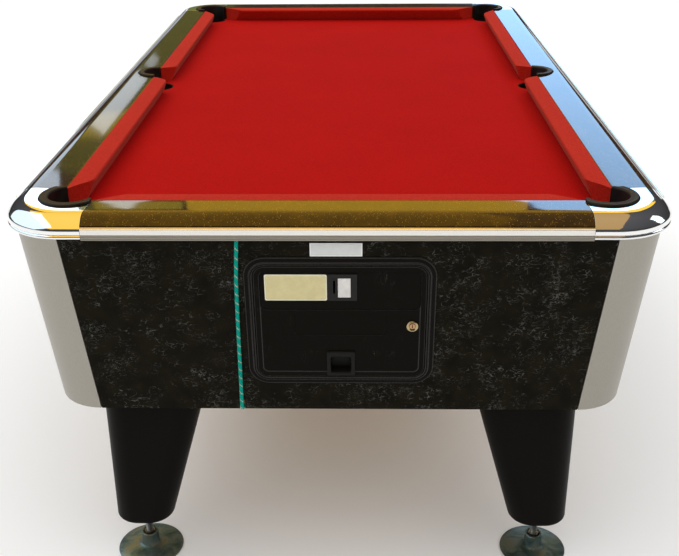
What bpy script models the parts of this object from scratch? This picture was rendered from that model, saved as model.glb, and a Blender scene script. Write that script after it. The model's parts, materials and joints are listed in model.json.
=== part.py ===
"""Coin-operated pool table, in metres, +Z up.

The origin is on the floor under the middle of the bed. +Y runs along the table, and the coin door is
on the front end, at -Y. Pieces are named objects; cutters are hidden helpers.
"""
import math

import bmesh
import bpy
from mathutils import Matrix, Vector

# Playing area and heights
PLAY_HALF_X = 0.4575        # middle of the bed to the cushion noses
PLAY_HALF_Y = 0.915
NOSE_Z = 0.820              # floor to the cushion noses
BED_Z = NOSE_Z - 0.035      # top of the bed cloth
CLOTH = 0.001
SLATE = 0.019
GAP = 0.0003                # running gap between touching pieces

# Rails, measured outwards from the nose line
RAIL_IN = 0.038
RAIL_CREST = 0.090
RAIL_OUT = 0.1285
RIM_OUT = 0.1325            # outside of the trim and of the corner castings
RAIL_BOTTOM = NOSE_Z - 0.0346
CASTING_RADIUS = 0.117
JOINT_X = 0.434             # casting joints on the end rails
JOINT_Y = 0.894             # casting joints on the side rails

# Pockets
CORNER = {"x": 0.4755, "y": 0.933, "r_in": 0.040, "r_out": 0.057}
MIDDLE = {"x": 0.493, "y": 0.0, "r_in": 0.035, "r_out": 0.051}
TUBE_WALL = 0.0025
LINER_WALL = 0.008
LINER_TOP = NOSE_Z + 0.008
LINER_BOTTOM = 0.748

# Cabinet: a rounded rectangle that leans in towards the bottom
CAB_HALF_X = 0.574
CAB_HALF_Y = 1.0315
CAB_TOP = 0.785
CAB_BOTTOM = 0.421
CAB_LEAN = math.radians(5.0)
POST_RADIUS = 0.093
POST_WALL = 0.005
BOARD = 0.018
REVEAL = 0.001              # gap between a panel and its posts
LEDGE_DEPTH = 0.018
LEDGE_HEIGHT = 0.030
SLATE_TOP = BED_Z - CLOTH - GAP
SLATE_BOTTOM = SLATE_TOP - SLATE

# Legs and feet
FOOT_X = 0.412
FOOT_Y = 0.889
LEG_BOTTOM = 0.098
LEG_TOP_OUT_X = 0.4530      # outer faces of the leg at the cabinet
LEG_TOP_OUT_Y = 0.9320
LEG_TOP_WIDTH = 0.208
LEG_FOOT_WIDTH = 0.116
PLATE_RADIUS = 0.069
HUB_RADIUS = 0.0175
HUB_TOP = 0.041
STUD_RADIUS = 0.0075
STUD_TOP = 0.150
SOCKET_FLOOR = 0.012

# Coin door, in the front panel's own frame: x across, s down the panel, y into the cabinet
DOOR_X = (-0.1480, 0.1590)
DOOR_S = (0.0535, 0.2880)
DOOR_RADIUS = 0.022
DOOR_GAP = 0.0015
FLANGE = 0.0155
SLEEVE_WALL = 0.0045
SLEEVE_DEPTH = 0.012
HINGE_X = DOOR_X[0] + DOOR_RADIUS
HINGE_Y = -0.0015
DOOR_FRONT = -0.005
DOOR_BACK = 0.002
UPPER_X = (-0.1365, 0.1480)
UPPER_S = (0.0640, 0.1440)
UPPER_DEPTH = 0.0015
RIB_X = (-0.0770, 0.0890)
RIB_S = (0.1525, 0.1972)
PLATE_X = (-0.0164, 0.0355)
PLATE_S = (0.0705, 0.1239)
SLOT_X = (-0.0065, -0.0029)
SLOT_S = (0.0825, 0.1086)
BUTTON_X = (0.0016, 0.0241)
BUTTON_S = (0.0786, 0.1170)
CUP_X = (-0.0200, 0.0316)
CUP_S = (0.2310, 0.2835)
MOUTH_X = (-0.0125, 0.0244)
MOUTH_S = (0.2424, 0.2766)
CUP_BACK = 0.022
FLAP_Y = 0.012
LOCK_X = 0.1339
LOCK_S = 0.1764
LOCK_RADIUS = 0.0095

# Ball run, tray and gate
RUN_X = 0.480
RUN_Y = 0.938
RUN_HALF = 0.037
RUN_WALL = 0.004
RUN_HEIGHT = 0.055
RUN_FRONT_Z = 0.640
RUN_CORNER_Z = 0.592
RUN_END_Z = 0.583
RUN_END_X = 0.132
TRAY_X = 0.129
TRAY_Y = (0.825, 0.988)
TRAY_Z = (0.500, 0.575)
TRAY_LIP = 0.530
TRAY_WALL = 0.004
OUTLET_HALF_X = 0.115
OUTLET_TOP = 0.612
GATE_Y = 0.870
GATE_Z = 0.665
GATE_ROD = 0.004

# Rope, 7 mm, down the front panel
ROPE_RADIUS = 0.0035
ROPE_HOLE = 0.0045
ROPE_TOP = (-0.1709, -1.0372)
ROPE_NOTCH_X = -0.1811

CABINET_BLACK = ("cabinet_laminate", (0.020, 0.017, 0.014), 0.35, 0.0)
RAIL_GLOSS = ("rail_laminate", (0.060, 0.030, 0.008), 0.08, 0.0)
CHROME = ("chrome", (0.80, 0.80, 0.80), 0.06, 1.0)
ALUMINIUM = ("satin_aluminium", (0.62, 0.59, 0.53), 0.35, 1.0)
RED_CLOTH = ("red_cloth", (0.50, 0.020, 0.008), 0.95, 0.0)
RUBBER = ("black_rubber", (0.018, 0.018, 0.018), 0.65, 0.0)
STONE = ("slate", (0.090, 0.095, 0.100), 0.80, 0.0)
TIMBER = ("bare_timber", (0.48, 0.33, 0.18), 0.75, 0.0)
BLACK_METAL = ("black_powder_coat", (0.012, 0.012, 0.012), 0.55, 0.0)
ZINC = ("passivated_zinc", (0.30, 0.36, 0.30), 0.35, 0.9)
STEEL = ("bright_steel", (0.55, 0.55, 0.55), 0.30, 1.0)
DOOR_BLACK = ("door_black", (0.014, 0.013, 0.012), 0.45, 0.0)
PLASTIC = ("black_plastic", (0.020, 0.020, 0.020), 0.40, 0.0)
WHITE = ("white_plastic", (0.80, 0.78, 0.74), 0.35, 0.0)
BRASS = ("lock_brass", (0.60, 0.40, 0.20), 0.25, 1.0)
ROPE_GREEN = ("rope_green", (0.0, 0.36, 0.27), 0.85, 0.0)


def material(spec):
    """The named Principled material, made once."""
    name, colour, roughness, metallic = spec
    found = bpy.data.materials.get(name)
    if found:
        return found
    made = bpy.data.materials.new(name)
    made.use_nodes = True
    shader = made.node_tree.nodes["Principled BSDF"]
    shader.inputs["Base Color"].default_value = (*colour, 1.0)
    shader.inputs["Roughness"].default_value = roughness
    shader.inputs["Metallic"].default_value = metallic
    return made


def add_object(name, bm, spec=None, parent=None):
    """Turn a bmesh into a named object with outward faces, smooth across shallow edges."""
    bmesh.ops.recalc_face_normals(bm, faces=bm.faces)
    mesh = bpy.data.meshes.new(name)
    bm.to_mesh(mesh)
    bm.free()
    mesh.shade_smooth()
    mesh.set_sharp_from_angle(angle=math.radians(35))
    made = bpy.data.objects.new(name, mesh)
    bpy.context.scene.collection.objects.link(made)
    if spec:
        mesh.materials.append(material(spec))
    else:
        made.hide_render = True
        made.display_type = "WIRE"
    made.parent = parent
    return made


def lofted(name, rings, spec=None, parent=None, closed=False):
    """A solid through rings of points: capped at both ends, or closed round on itself."""
    bm = bmesh.new()
    loops = [[bm.verts.new(point) for point in ring] for ring in rings]
    count = len(loops[0])
    pairs = list(zip(loops, loops[1:]))
    if closed:
        pairs.append((loops[-1], loops[0]))
    for a, b in pairs:
        for i in range(count):
            j = (i + 1) % count
            bm.faces.new((a[i], a[j], b[j], b[i]))
    if not closed:
        bm.faces.new(loops[0])
        bm.faces.new(loops[-1])
    return add_object(name, bm, spec, parent)


def prism(name, outline, z0, z1, spec=None, parent=None):
    """An outline in plan, from z0 up to z1."""
    return lofted(name, [[(x, y, z) for x, y in outline] for z in (z0, z1)], spec, parent)


def block(name, low, high, spec=None, parent=None):
    """A box between two corners."""
    (x0, y0, z0), (x1, y1, z1) = low, high
    return prism(name, [(x0, y0), (x1, y0), (x1, y1), (x0, y1)], z0, z1, spec, parent)


def turned(name, profile, centre, spec=None, parent=None, segments=24):
    """A solid of revolution about Z: a closed profile of (radius, height) points off the axis."""
    rings = []
    for i in range(segments):
        turn = 2 * math.pi * i / segments
        c, s = math.cos(turn), math.sin(turn)
        rings.append([(centre[0] + r * c, centre[1] + r * s, z) for r, z in profile])
    return lofted(name, rings, spec, parent, closed=True)


def rod(name, start, end, radius, spec=None, parent=None, segments=16):
    """A round bar between two points."""
    start, end = Vector(start), Vector(end)
    spin = (end - start).to_track_quat("Z", "Y").to_matrix()
    rings = []
    for point in (start, end):
        rings.append([point + spin @ Vector((radius * math.cos(a), radius * math.sin(a), 0))
                      for a in (2 * math.pi * i / segments for i in range(segments))])
    return lofted(name, rings, spec, parent)


def filleted(corners, segments=5):
    """An outline through (x, y, radius) corners, each rounded by its radius."""
    points = []
    for i, (x, y, radius) in enumerate(corners):
        here = Vector((x, y))
        back = (Vector(corners[i - 1][:2]) - here).normalized()
        ahead = (Vector(corners[(i + 1) % len(corners)][:2]) - here).normalized()
        if radius == 0:
            points.append((x, y))
            continue
        half = back.angle(ahead) / 2
        centre = here + (back + ahead).normalized() * (radius / math.sin(half))
        first = here + back * (radius / math.tan(half)) - centre
        last = here + ahead * (radius / math.tan(half)) - centre
        sweep = first.angle_signed(last)
        for step in range(segments + 1):
            turn = -sweep * step / segments
            c, s = math.cos(turn), math.sin(turn)
            points.append((centre.x + first.x * c - first.y * s, centre.y + first.x * s + first.y * c))
    return points


def round_box(x, y, radius, segments=5):
    """A rounded rectangle between x[0], x[1] and y[0], y[1]."""
    return filleted([(x[0], y[0], radius), (x[1], y[0], radius),
                     (x[1], y[1], radius), (x[0], y[1], radius)], segments)


def boolean(target, other, operation="DIFFERENCE"):
    """Cut, join or intersect the target with a helper object."""
    step = target.modifiers.new(operation.lower(), "BOOLEAN")
    step.operation = operation
    step.object = other
    step.solver = "EXACT"


def lean(z):
    """How far the cabinet has leaned in at height z."""
    return (CAB_TOP - z) * math.tan(CAB_LEAN)


def rail_top(d):
    """Height of the rail's top at distance d out from the nose line: nearly flat, then rolling off."""
    if d <= RAIL_CREST:
        return NOSE_Z + 0.003 + 0.002 * (d - RAIL_IN) / (RAIL_CREST - RAIL_IN)
    return NOSE_Z + 0.005 - 0.0170 * ((d - RAIL_CREST) / (RAIL_OUT - RAIL_CREST)) ** 3


def rail_crown(steps=6):
    """(d, z) points over the rail from its inner edge to the end of the roll-off."""
    run = [RAIL_CREST + (RAIL_OUT - RAIL_CREST) * i / steps for i in range(steps + 1)]
    return [(d, rail_top(d)) for d in [RAIL_IN] + run]


def placed(side, along, d, z):
    """A point on a side ("x+", "x-", "y+", "y-"): along it, d out from its nose line, at height z."""
    sign = 1 if side[1] == "+" else -1
    if side[0] == "x":
        return (sign * (PLAY_HALF_X + d), along, z)
    return (along, sign * (PLAY_HALF_Y + d), z)


SIDES = {"front": "y-", "back": "y+", "left": "x-", "right": "x+"}
QUARTERS = {"front_left": (-1, -1), "front_right": (1, -1), "back_left": (-1, 1), "back_right": (1, 1)}


def add_bed():
    """Slate with its stretched cloth, both drilled for the six pockets."""
    slate_outline = round_box((-0.545, 0.545), (-1.0025, 1.0025), 0.05)
    cloth_outline = round_box((-0.542, 0.542), (-0.9995, 0.9995), 0.05)
    slate = prism("slate_bed", slate_outline, SLATE_BOTTOM, SLATE_TOP, STONE)
    cloth = prism("bed_cloth", cloth_outline, BED_Z - CLOTH, BED_Z, RED_CLOTH)
    for name, pocket, sx, sy in pockets():
        hole = pocket["r_in"] + TUBE_WALL + 0.0005
        centre = (sx * pocket["x"], sy * pocket["y"])
        cutter = rod(f"cut_bed_{name}", (*centre, 0.70), (*centre, 0.90), hole, segments=24)
        boolean(slate, cutter)
        boolean(cloth, cutter)


def pockets():
    """Each pocket's name, sizes and the signs of its place."""
    found = [(name, CORNER, sx, sy) for name, (sx, sy) in QUARTERS.items()]
    return found + [("middle_left", MIDDLE, -1, 0), ("middle_right", MIDDLE, 1, 0)]


def add_pocket_liners():
    """Rubber liners: a drop tube through the slate, and a flanged wall open towards the bed."""
    for name, pocket, sx, sy in pockets():
        r_in, r_out = pocket["r_in"], pocket["r_out"]
        profile = [(r_in, LINER_BOTTOM), (r_in + TUBE_WALL, LINER_BOTTOM),
                   (r_in + TUBE_WALL, BED_Z + GAP), (r_in + LINER_WALL, BED_Z + GAP),
                   (r_in + LINER_WALL, LINER_TOP - 0.012), (r_out, LINER_TOP - 0.012),
                   (r_out, LINER_TOP - 0.0025), (r_out - 0.0025, LINER_TOP),
                   (r_in + 0.0035, LINER_TOP), (r_in, LINER_TOP - 0.0035)]
        centre = (sx * pocket["x"], sy * pocket["y"])
        liner = turned(f"pocket_liner_{name}", profile, centre, RUBBER)
        if sy:
            mouth = [(0.38, 0.84), (0.56, 0.84), (0.56, JOINT_Y + GAP), (0.494, JOINT_Y + GAP),
                     (JOINT_X + GAP, 0.956), (JOINT_X + GAP, 1.02), (0.38, 1.02)]
        else:
            mouth = [(0.40, -0.08), (PLAY_HALF_X + RAIL_IN + GAP, -0.08),
                     (PLAY_HALF_X + RAIL_IN + GAP, 0.08), (0.40, 0.08)]
        outline = [(sx * x, (sy or 1) * y) for x, y in mouth]
        boolean(liner, prism(f"cut_mouth_{name}", outline, BED_Z - 0.0012, 0.86))


def add_cushions():
    """Six cloth-covered cushions: an undercut rubber section, with ends splayed at the pockets."""
    nose = [(0.0035 + 0.0035 * math.cos(a), NOSE_Z - 0.0022 + 0.0035 * math.sin(a))
            for a in (math.radians(100 + 25 * i) for i in range(5))]
    back = RAIL_IN - GAP
    low = BED_Z + GAP
    section = [(back, NOSE_Z + 0.0027), *nose, (0.0150, low), (back, low)]
    ends = {"corner_x": (0.375, 0.432, 0.015), "corner_y": (0.840, 0.896, 0.015),
            "middle": (0.072, 0.047, 0.020)}
    runs = [("front", "y-", ends["corner_x"], -1, ends["corner_x"], 1),
            ("back", "y+", ends["corner_x"], -1, ends["corner_x"], 1)]
    for side, place in (("left", "x-"), ("right", "x+")):
        runs.append((f"{side}_front", place, ends["corner_y"], -1, ends["middle"], -1))
        runs.append((f"{side}_back", place, ends["middle"], 1, ends["corner_y"], 1))
    for name, side, start, start_sign, end, end_sign in runs:
        span = (start_sign * max(start[:2]) - 0.02, end_sign * max(end[:2]) + 0.02)
        if start is ends["middle"]:
            span = (0.03, span[1])
        if end is ends["middle"]:
            span = (span[0], -0.03)
        rings = [[placed(side, along, d, z) for d, z in section] for along in span]
        cushion = lofted(f"cushion_{name}", rings, RED_CLOTH)
        corners = [(start_sign * start[0], -0.001, start[2]), (end_sign * end[0], -0.001, end[2]),
                   (end_sign * end[1], RAIL_IN + 0.001, 0), (start_sign * start[1], RAIL_IN + 0.001, 0)]
        plan = filleted(corners, 6)
        rings = [[placed(side, along, d, z) for along, d in plan] for z in (0.77, 0.84)]
        boolean(cushion, lofted(f"cut_cushion_{name}", rings), "INTERSECT")


def add_rails():
    """Two end rails and two side rails in gloss laminate, notched for the middle pockets."""
    section = rail_crown() + [(RAIL_OUT, RAIL_BOTTOM), (RAIL_IN, RAIL_BOTTOM)]
    for name, side in SIDES.items():
        reach = (JOINT_Y if side[0] == "x" else JOINT_X) - GAP
        rings = [[placed(side, along, d, z) for d, z in section] for along in (-reach, reach)]
        rail = lofted(f"rail_{name}", rings, RAIL_GLOSS)
        if side[0] == "x":
            centre = (math.copysign(MIDDLE["x"], -1 if side[1] == "-" else 1), 0.0)
            cutter = rod(f"cut_notch_{name}", (*centre, 0.75), (*centre, 0.87), MIDDLE["r_out"] + 0.0010,
                         segments=24)
            boolean(rail, cutter)
        if name == "front":
            top = (*ROPE_TOP, RAIL_BOTTOM + 0.014)
            boolean(rail, rod("cut_rope_hole", (*ROPE_TOP, 0.77), top, ROPE_HOLE, segments=12))


def add_corner_castings():
    """Chrome corners that carry the rail section round, with a rolled lip in place of the trim."""
    lip = [(RIM_OUT - 0.0014, NOSE_Z - 0.0155), (RIM_OUT, NOSE_Z - 0.0195), (RIM_OUT, NOSE_Z - 0.0300),
           (RIM_OUT - 0.0015, NOSE_Z - 0.0332), (RIM_OUT - 0.0050, RAIL_BOTTOM), (RAIL_IN, RAIL_BOTTOM)]
    section = [(RIM_OUT - d, z) for d, z in rail_crown() + lip]
    edge_x, edge_y = PLAY_HALF_X + RIM_OUT, PLAY_HALF_Y + RIM_OUT
    arc_x, arc_y = edge_x - CASTING_RADIUS, edge_y - CASTING_RADIUS
    steps = 12
    for name, (sx, sy) in QUARTERS.items():
        rings = [[(sx * (edge_x - t), sy * (JOINT_Y + GAP), z) for t, z in section]]
        for i in range(steps + 1):
            turn = math.pi / 2 * i / steps
            rings.append([(sx * (arc_x + (CASTING_RADIUS - t) * math.cos(turn)),
                           sy * (arc_y + (CASTING_RADIUS - t) * math.sin(turn)), z) for t, z in section])
        rings.append([(sx * (JOINT_X + GAP), sy * (edge_y - t), z) for t, z in section])
        casting = lofted(f"corner_casting_{name}", rings, CHROME)
        centre = (sx * CORNER["x"], sy * CORNER["y"])
        boolean(casting, rod(f"cut_casting_{name}", (*centre, 0.75), (*centre, 0.87),
                             CORNER["r_out"] + 0.0010, segments=24))


def add_trims():
    """Aluminium edge trims with a bright top lip and three shallow flutes."""
    top, bottom = NOSE_Z - 0.0115, NOSE_Z - 0.0355
    face = [(RAIL_OUT + GAP, top), (RIM_OUT - 0.0020, top), (RIM_OUT - 0.0010, top - 0.0012),
            (RIM_OUT, top - 0.0125)]
    for i in range(3):
        z = bottom + 0.0095 - 0.0030 * i
        face += [(RIM_OUT, z + 0.0007), (RIM_OUT - 0.0008, z), (RIM_OUT, z - 0.0007)]
    section = face + [(RIM_OUT, bottom), (RAIL_OUT + GAP, bottom)]
    for name, side in SIDES.items():
        reach = (JOINT_Y if side[0] == "x" else JOINT_X) - GAP
        rings = [[placed(side, along, d, z) for d, z in section] for along in (-reach, reach)]
        lofted(f"trim_{name}", rings, ALUMINIUM)


def add_panel_frame():
    """An empty at the top middle of the front panel's face, with local Z up the leaning face."""
    frame = bpy.data.objects.new("front_panel_frame", None)
    bpy.context.scene.collection.objects.link(frame)
    frame.location = (0.0, -CAB_HALF_Y, CAB_TOP)
    frame.rotation_euler = (CAB_LEAN, 0.0, 0.0)
    return frame


def face_prism(name, outline, y0, y1, spec=None, parent=None):
    """An (x, s) outline on the front panel, from depth y0 to y1, in the panel's own frame."""
    rings = [[(x, y, -s) for x, s in outline] for y in (y0, y1)]
    return lofted(name, rings, spec, parent)


def door_outline(grow):
    """The door opening's rounded outline, grown outwards all round."""
    return round_box((DOOR_X[0] - grow, DOOR_X[1] + grow), (DOOR_S[0] - grow, DOOR_S[1] + grow),
                     DOOR_RADIUS + grow)


def add_cabinet(face):
    """Four leaning panels with ledges for the slate, four corner posts and the floor board."""
    ledge_top = SLATE_BOTTOM - GAP
    ledge_low = ledge_top - LEDGE_HEIGHT
    section = [(0, CAB_TOP), (0, CAB_BOTTOM), (BOARD, CAB_BOTTOM), (BOARD, ledge_low),
               (BOARD + LEDGE_DEPTH, ledge_low), (BOARD + LEDGE_DEPTH, ledge_top), (BOARD, ledge_top),
               (BOARD, CAB_TOP)]
    panels = {}
    for name, side in SIDES.items():
        sign = 1 if side[1] == "+" else -1
        across, along = (CAB_HALF_X, CAB_HALF_Y) if side[0] == "x" else (CAB_HALF_Y, CAB_HALF_X)
        rings = []
        for end in (-1, 1):
            ring = []
            for t, z in section:
                out = sign * (across - lean(z) - t)
                reach = end * (along - lean(z) - POST_RADIUS - REVEAL)
                ring.append((out, reach, z) if side[0] == "x" else (reach, out, z))
            rings.append(ring)
        panels[name] = lofted(f"panel_{name}", rings, CABINET_BLACK)
    boolean(panels["front"], face_prism("cut_door_opening", door_outline(SLEEVE_WALL + 0.0005),
                                        -0.02, 0.05, parent=face))
    boolean(panels["front"], block("cut_rope_notch", (ROPE_NOTCH_X - 0.005, -1.03, 0.40),
                                   (ROPE_NOTCH_X + 0.005, -0.95, CAB_BOTTOM + 0.020)))
    boolean(panels["back"], block("cut_outlet", (-OUTLET_HALF_X, 0.95, TRAY_LIP),
                                  (OUTLET_HALF_X, 1.05, OUTLET_TOP)))
    for name, (sx, sy) in QUARTERS.items():
        rings = []
        for z in (CAB_BOTTOM, CAB_TOP):
            centre = (CAB_HALF_X - lean(z) - POST_RADIUS, CAB_HALF_Y - lean(z) - POST_RADIUS)
            turns = [math.pi / 2 * i / 12 for i in range(13)]
            outer = [(POST_RADIUS, a) for a in turns]
            inner = [(POST_RADIUS - POST_WALL, a) for a in reversed(turns)]
            rings.append([(sx * (centre[0] + r * math.cos(a)), sy * (centre[1] + r * math.sin(a)), z)
                          for r, a in outer + inner])
        lofted(f"corner_post_{name}", rings, ALUMINIUM)
    half_x = CAB_HALF_X - lean(CAB_BOTTOM) - BOARD - 0.0006
    half_y = CAB_HALF_Y - lean(CAB_BOTTOM) - BOARD - 0.0006
    floor = prism("cabinet_floor", round_box((-half_x, half_x), (-half_y, half_y), 0.06),
                  CAB_BOTTOM + 0.0005, CAB_BOTTOM + 0.0005 + BOARD, TIMBER)
    slot = round_box((ROPE_NOTCH_X - 0.005, ROPE_NOTCH_X + 0.005), (-0.977, -0.954), 0.0045, 3)
    boolean(floor, prism("cut_rope_slot", slot, 0.40, 0.46))


def add_slate_frame():
    """Two cross bearers on the ledges' level, joined by a spine, under the slate."""
    top, low = SLATE_BOTTOM - GAP, 0.685
    frame = block("slate_frame", (-0.022, -0.34, low), (0.022, 0.34, top), TIMBER)
    for y in (-0.36, 0.36):
        bearer = block(f"add_bearer_{'front' if y < 0 else 'back'}", (-0.526, y - 0.03, low),
                       (0.526, y + 0.03, top))
        boolean(frame, bearer, "UNION")


def add_legs():
    """Four tapered legs: rounded-square sections, nearly upright outside and slanted inside."""
    top_half, foot_half = LEG_TOP_WIDTH / 2, LEG_FOOT_WIDTH / 2
    top_x, top_y = LEG_TOP_OUT_X - top_half, LEG_TOP_OUT_Y - top_half
    top = CAB_BOTTOM - GAP
    levels = [(0.0, -0.008), (0.012, -0.002), (0.035, 0.0), (1.0, 0.0)]
    for name, (sx, sy) in QUARTERS.items():
        rings = []
        for share, grow in levels:
            half = foot_half + (top_half - foot_half) * share + grow
            cx = FOOT_X + (top_x - FOOT_X) * share
            cy = FOOT_Y + (top_y - FOOT_Y) * share
            radius = 0.044 + 0.006 * share
            outline = round_box((cx - half, cx + half), (cy - half, cy + half), radius)
            z = LEG_BOTTOM + (top - LEG_BOTTOM) * share
            rings.append([(sx * x, sy * y, z) for x, y in outline])
        leg = lofted(f"leg_{name}", rings, BLACK_METAL)
        foot, head = (sx * FOOT_X, sy * FOOT_Y, 0.05), (sx * FOOT_X, sy * FOOT_Y, STUD_TOP + 0.035)
        boolean(leg, rod(f"cut_leg_{name}", foot, head, STUD_RADIUS + 0.0008))


def add_feet():
    """Levelling feet: a pressed plate with a tall hub, and a threaded stud with its nut in the hub."""
    plate = [(PLATE_RADIUS - 0.002, 0.0), (PLATE_RADIUS, 0.002), (PLATE_RADIUS - 0.002, 0.0045),
             (0.045, 0.0085), (0.026, 0.0095), (0.0200, 0.0120), (0.0185, 0.0180), (HUB_RADIUS, HUB_TOP),
             (0.0132, HUB_TOP), (0.0132, SOCKET_FLOOR), (0.0005, SOCKET_FLOOR), (0.0005, 0.0)]
    for name, (sx, sy) in QUARTERS.items():
        centre = (sx * FOOT_X, sy * FOOT_Y)
        foot = turned(f"foot_plate_{name}", plate, centre, ZINC)
        core = rod(f"add_foot_core_{name}", (*centre, 0.0), (*centre, SOCKET_FLOOR), 0.003, segments=12)
        boolean(foot, core, "UNION")
        low, high = (*centre, SOCKET_FLOOR + GAP), (*centre, STUD_TOP)
        stud = rod(f"foot_stud_{name}", low, high, STUD_RADIUS, STEEL)
        low, high = (*centre, HUB_TOP - 0.012), (*centre, HUB_TOP + 0.001)
        boolean(stud, rod(f"add_nut_{name}", low, high, 0.0122, segments=6), "UNION")


def add_coin_door(face):
    """Door frame, pan door with its recesses, acceptor, reject button, return flap and lock."""
    section = [(0.0, -0.0055), (0.0015, -0.0065), (0.0045, -0.0065), (0.0060, -0.0045),
               (FLANGE - 0.0015, -0.0040), (FLANGE, -0.0025), (FLANGE, -GAP), (SLEEVE_WALL, -GAP),
               (SLEEVE_WALL, SLEEVE_DEPTH), (0.0, SLEEVE_DEPTH)]
    rings = [[(x, y, -s) for x, s in door_outline(grow)] for grow, y in section]
    frame = lofted("door_frame", rings, DOOR_BLACK, face, closed=True)
    rim = [(-DOOR_GAP, DOOR_BACK), (-DOOR_GAP, DOOR_FRONT + 0.001), (-DOOR_GAP - 0.001, DOOR_FRONT),
           (-DOOR_GAP - 0.0095, DOOR_FRONT), (-DOOR_GAP - 0.0108, DOOR_FRONT + 0.0015)]
    rings = [[(x, y, -s) for x, s in door_outline(grow)] for grow, y in rim]
    door = lofted("coin_door", rings, DOOR_BLACK, face)
    boss = round_box(CUP_X, CUP_S, 0.002, 2)
    boolean(door, face_prism("add_cup_boss", boss, -0.0065, 0.0015, parent=face), "UNION")
    tube = round_box((MOUTH_X[0] - 0.0035, MOUTH_X[1] + 0.0035),
                     (MOUTH_S[0] - 0.0035, MOUTH_S[1] + 0.0030), 0.002, 2)
    boolean(door, face_prism("add_cup_tube", tube, -0.001, CUP_BACK, parent=face), "UNION")
    upper = round_box(UPPER_X, UPPER_S, 0.012)
    boolean(door, face_prism("cut_upper_field", upper, -0.02, DOOR_FRONT + 0.0015 + UPPER_DEPTH, parent=face))
    rib = round_box(RIB_X, RIB_S, 0.006, 3)
    boolean(door, face_prism("cut_rib_field", rib, -0.02, DOOR_FRONT + 0.0025, parent=face))
    plate = round_box((PLATE_X[0] - GAP, PLATE_X[1] + GAP), (PLATE_S[0] - GAP, PLATE_S[1] + GAP), 0.0015, 2)
    boolean(door, face_prism("cut_acceptor", plate, -0.02, 0.02, parent=face))
    mouth = round_box(MOUTH_X, MOUTH_S, 0.004, 3)
    boolean(door, face_prism("cut_mouth", mouth, -0.02, 0.03, parent=face))
    flap_s = MOUTH_S[0] + 0.0030
    pivot = [(MOUTH_X[0] - 0.0020, FLAP_Y, -flap_s), (MOUTH_X[1] + 0.0020, FLAP_Y, -flap_s)]
    boolean(door, rod("cut_flap_pivot", *pivot, 0.0019, parent=face, segments=12))
    lock_hole = [(LOCK_X, -0.02, -LOCK_S), (LOCK_X, 0.02, -LOCK_S)]
    boolean(door, rod("cut_lock_hole", *lock_hole, LOCK_RADIUS + 0.0004, parent=face, segments=24))
    for end, edge, sign in (("top", DOOR_S[0], -1), ("bottom", DOOR_S[1], 1)):
        inside, outside, drilled = (edge + sign * reach for reach in (-0.0065, 0.0030, 0.0036))
        pin = [(HINGE_X, HINGE_Y, -inside), (HINGE_X, HINGE_Y, -outside)]
        hole = [(HINGE_X, HINGE_Y, -inside), (HINGE_X, HINGE_Y, -drilled)]
        boolean(door, rod(f"add_hinge_pin_{end}", *pin, 0.0015, parent=face, segments=12), "UNION")
        boolean(frame, rod(f"cut_hinge_hole_{end}", *hole, 0.0020, parent=face, segments=12))

    plate = round_box(PLATE_X, PLATE_S, 0.0015, 2)
    acceptor = face_prism("coin_acceptor", plate, -0.0045, DOOR_BACK + 0.001, PLASTIC, face)
    body = [(PLATE_X[0] + 0.003, PLATE_S[0] + 0.003), (PLATE_X[1] - 0.003, PLATE_S[0] + 0.003),
            (PLATE_X[1] - 0.003, 0.172), (PLATE_X[0] + 0.003, 0.172)]
    boolean(acceptor, face_prism("add_acceptor_body", body, DOOR_BACK + 0.0003, 0.060, parent=face), "UNION")
    slot = [(SLOT_X[0], SLOT_S[0]), (SLOT_X[1], SLOT_S[0]), (SLOT_X[1], SLOT_S[1]), (SLOT_X[0], SLOT_S[1])]
    boolean(acceptor, face_prism("cut_coin_slot", slot, -0.02, 0.030, parent=face))
    well = round_box((BUTTON_X[0] - 0.0004, BUTTON_X[1] + 0.0004),
                     (BUTTON_S[0] - 0.0004, BUTTON_S[1] + 0.0004), 0.0012, 2)
    boolean(acceptor, face_prism("cut_button_well", well, -0.02, 0.0075, parent=face))
    cap = round_box(BUTTON_X, BUTTON_S, 0.0010, 2)
    face_prism("reject_button", cap, -0.0052, 0.0035, WHITE, face)

    margin = 0.0006
    blade = filleted([(MOUTH_X[0] + margin, flap_s - 0.0014, 0), (MOUTH_X[1] - margin, flap_s - 0.0014, 0),
                      (MOUTH_X[1] - margin, MOUTH_S[1] - 0.0008, 0.004),
                      (MOUTH_X[0] + margin, MOUTH_S[1] - 0.0008, 0.004)], 3)
    flap = face_prism("return_flap", blade, FLAP_Y - 0.0010, FLAP_Y + 0.0010, PLASTIC, face)
    axle = [(MOUTH_X[0] - 0.0015, FLAP_Y, -flap_s), (MOUTH_X[1] + 0.0015, FLAP_Y, -flap_s)]
    boolean(flap, rod("add_flap_axle", *axle, 0.0014, parent=face, segments=12), "UNION")

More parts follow.
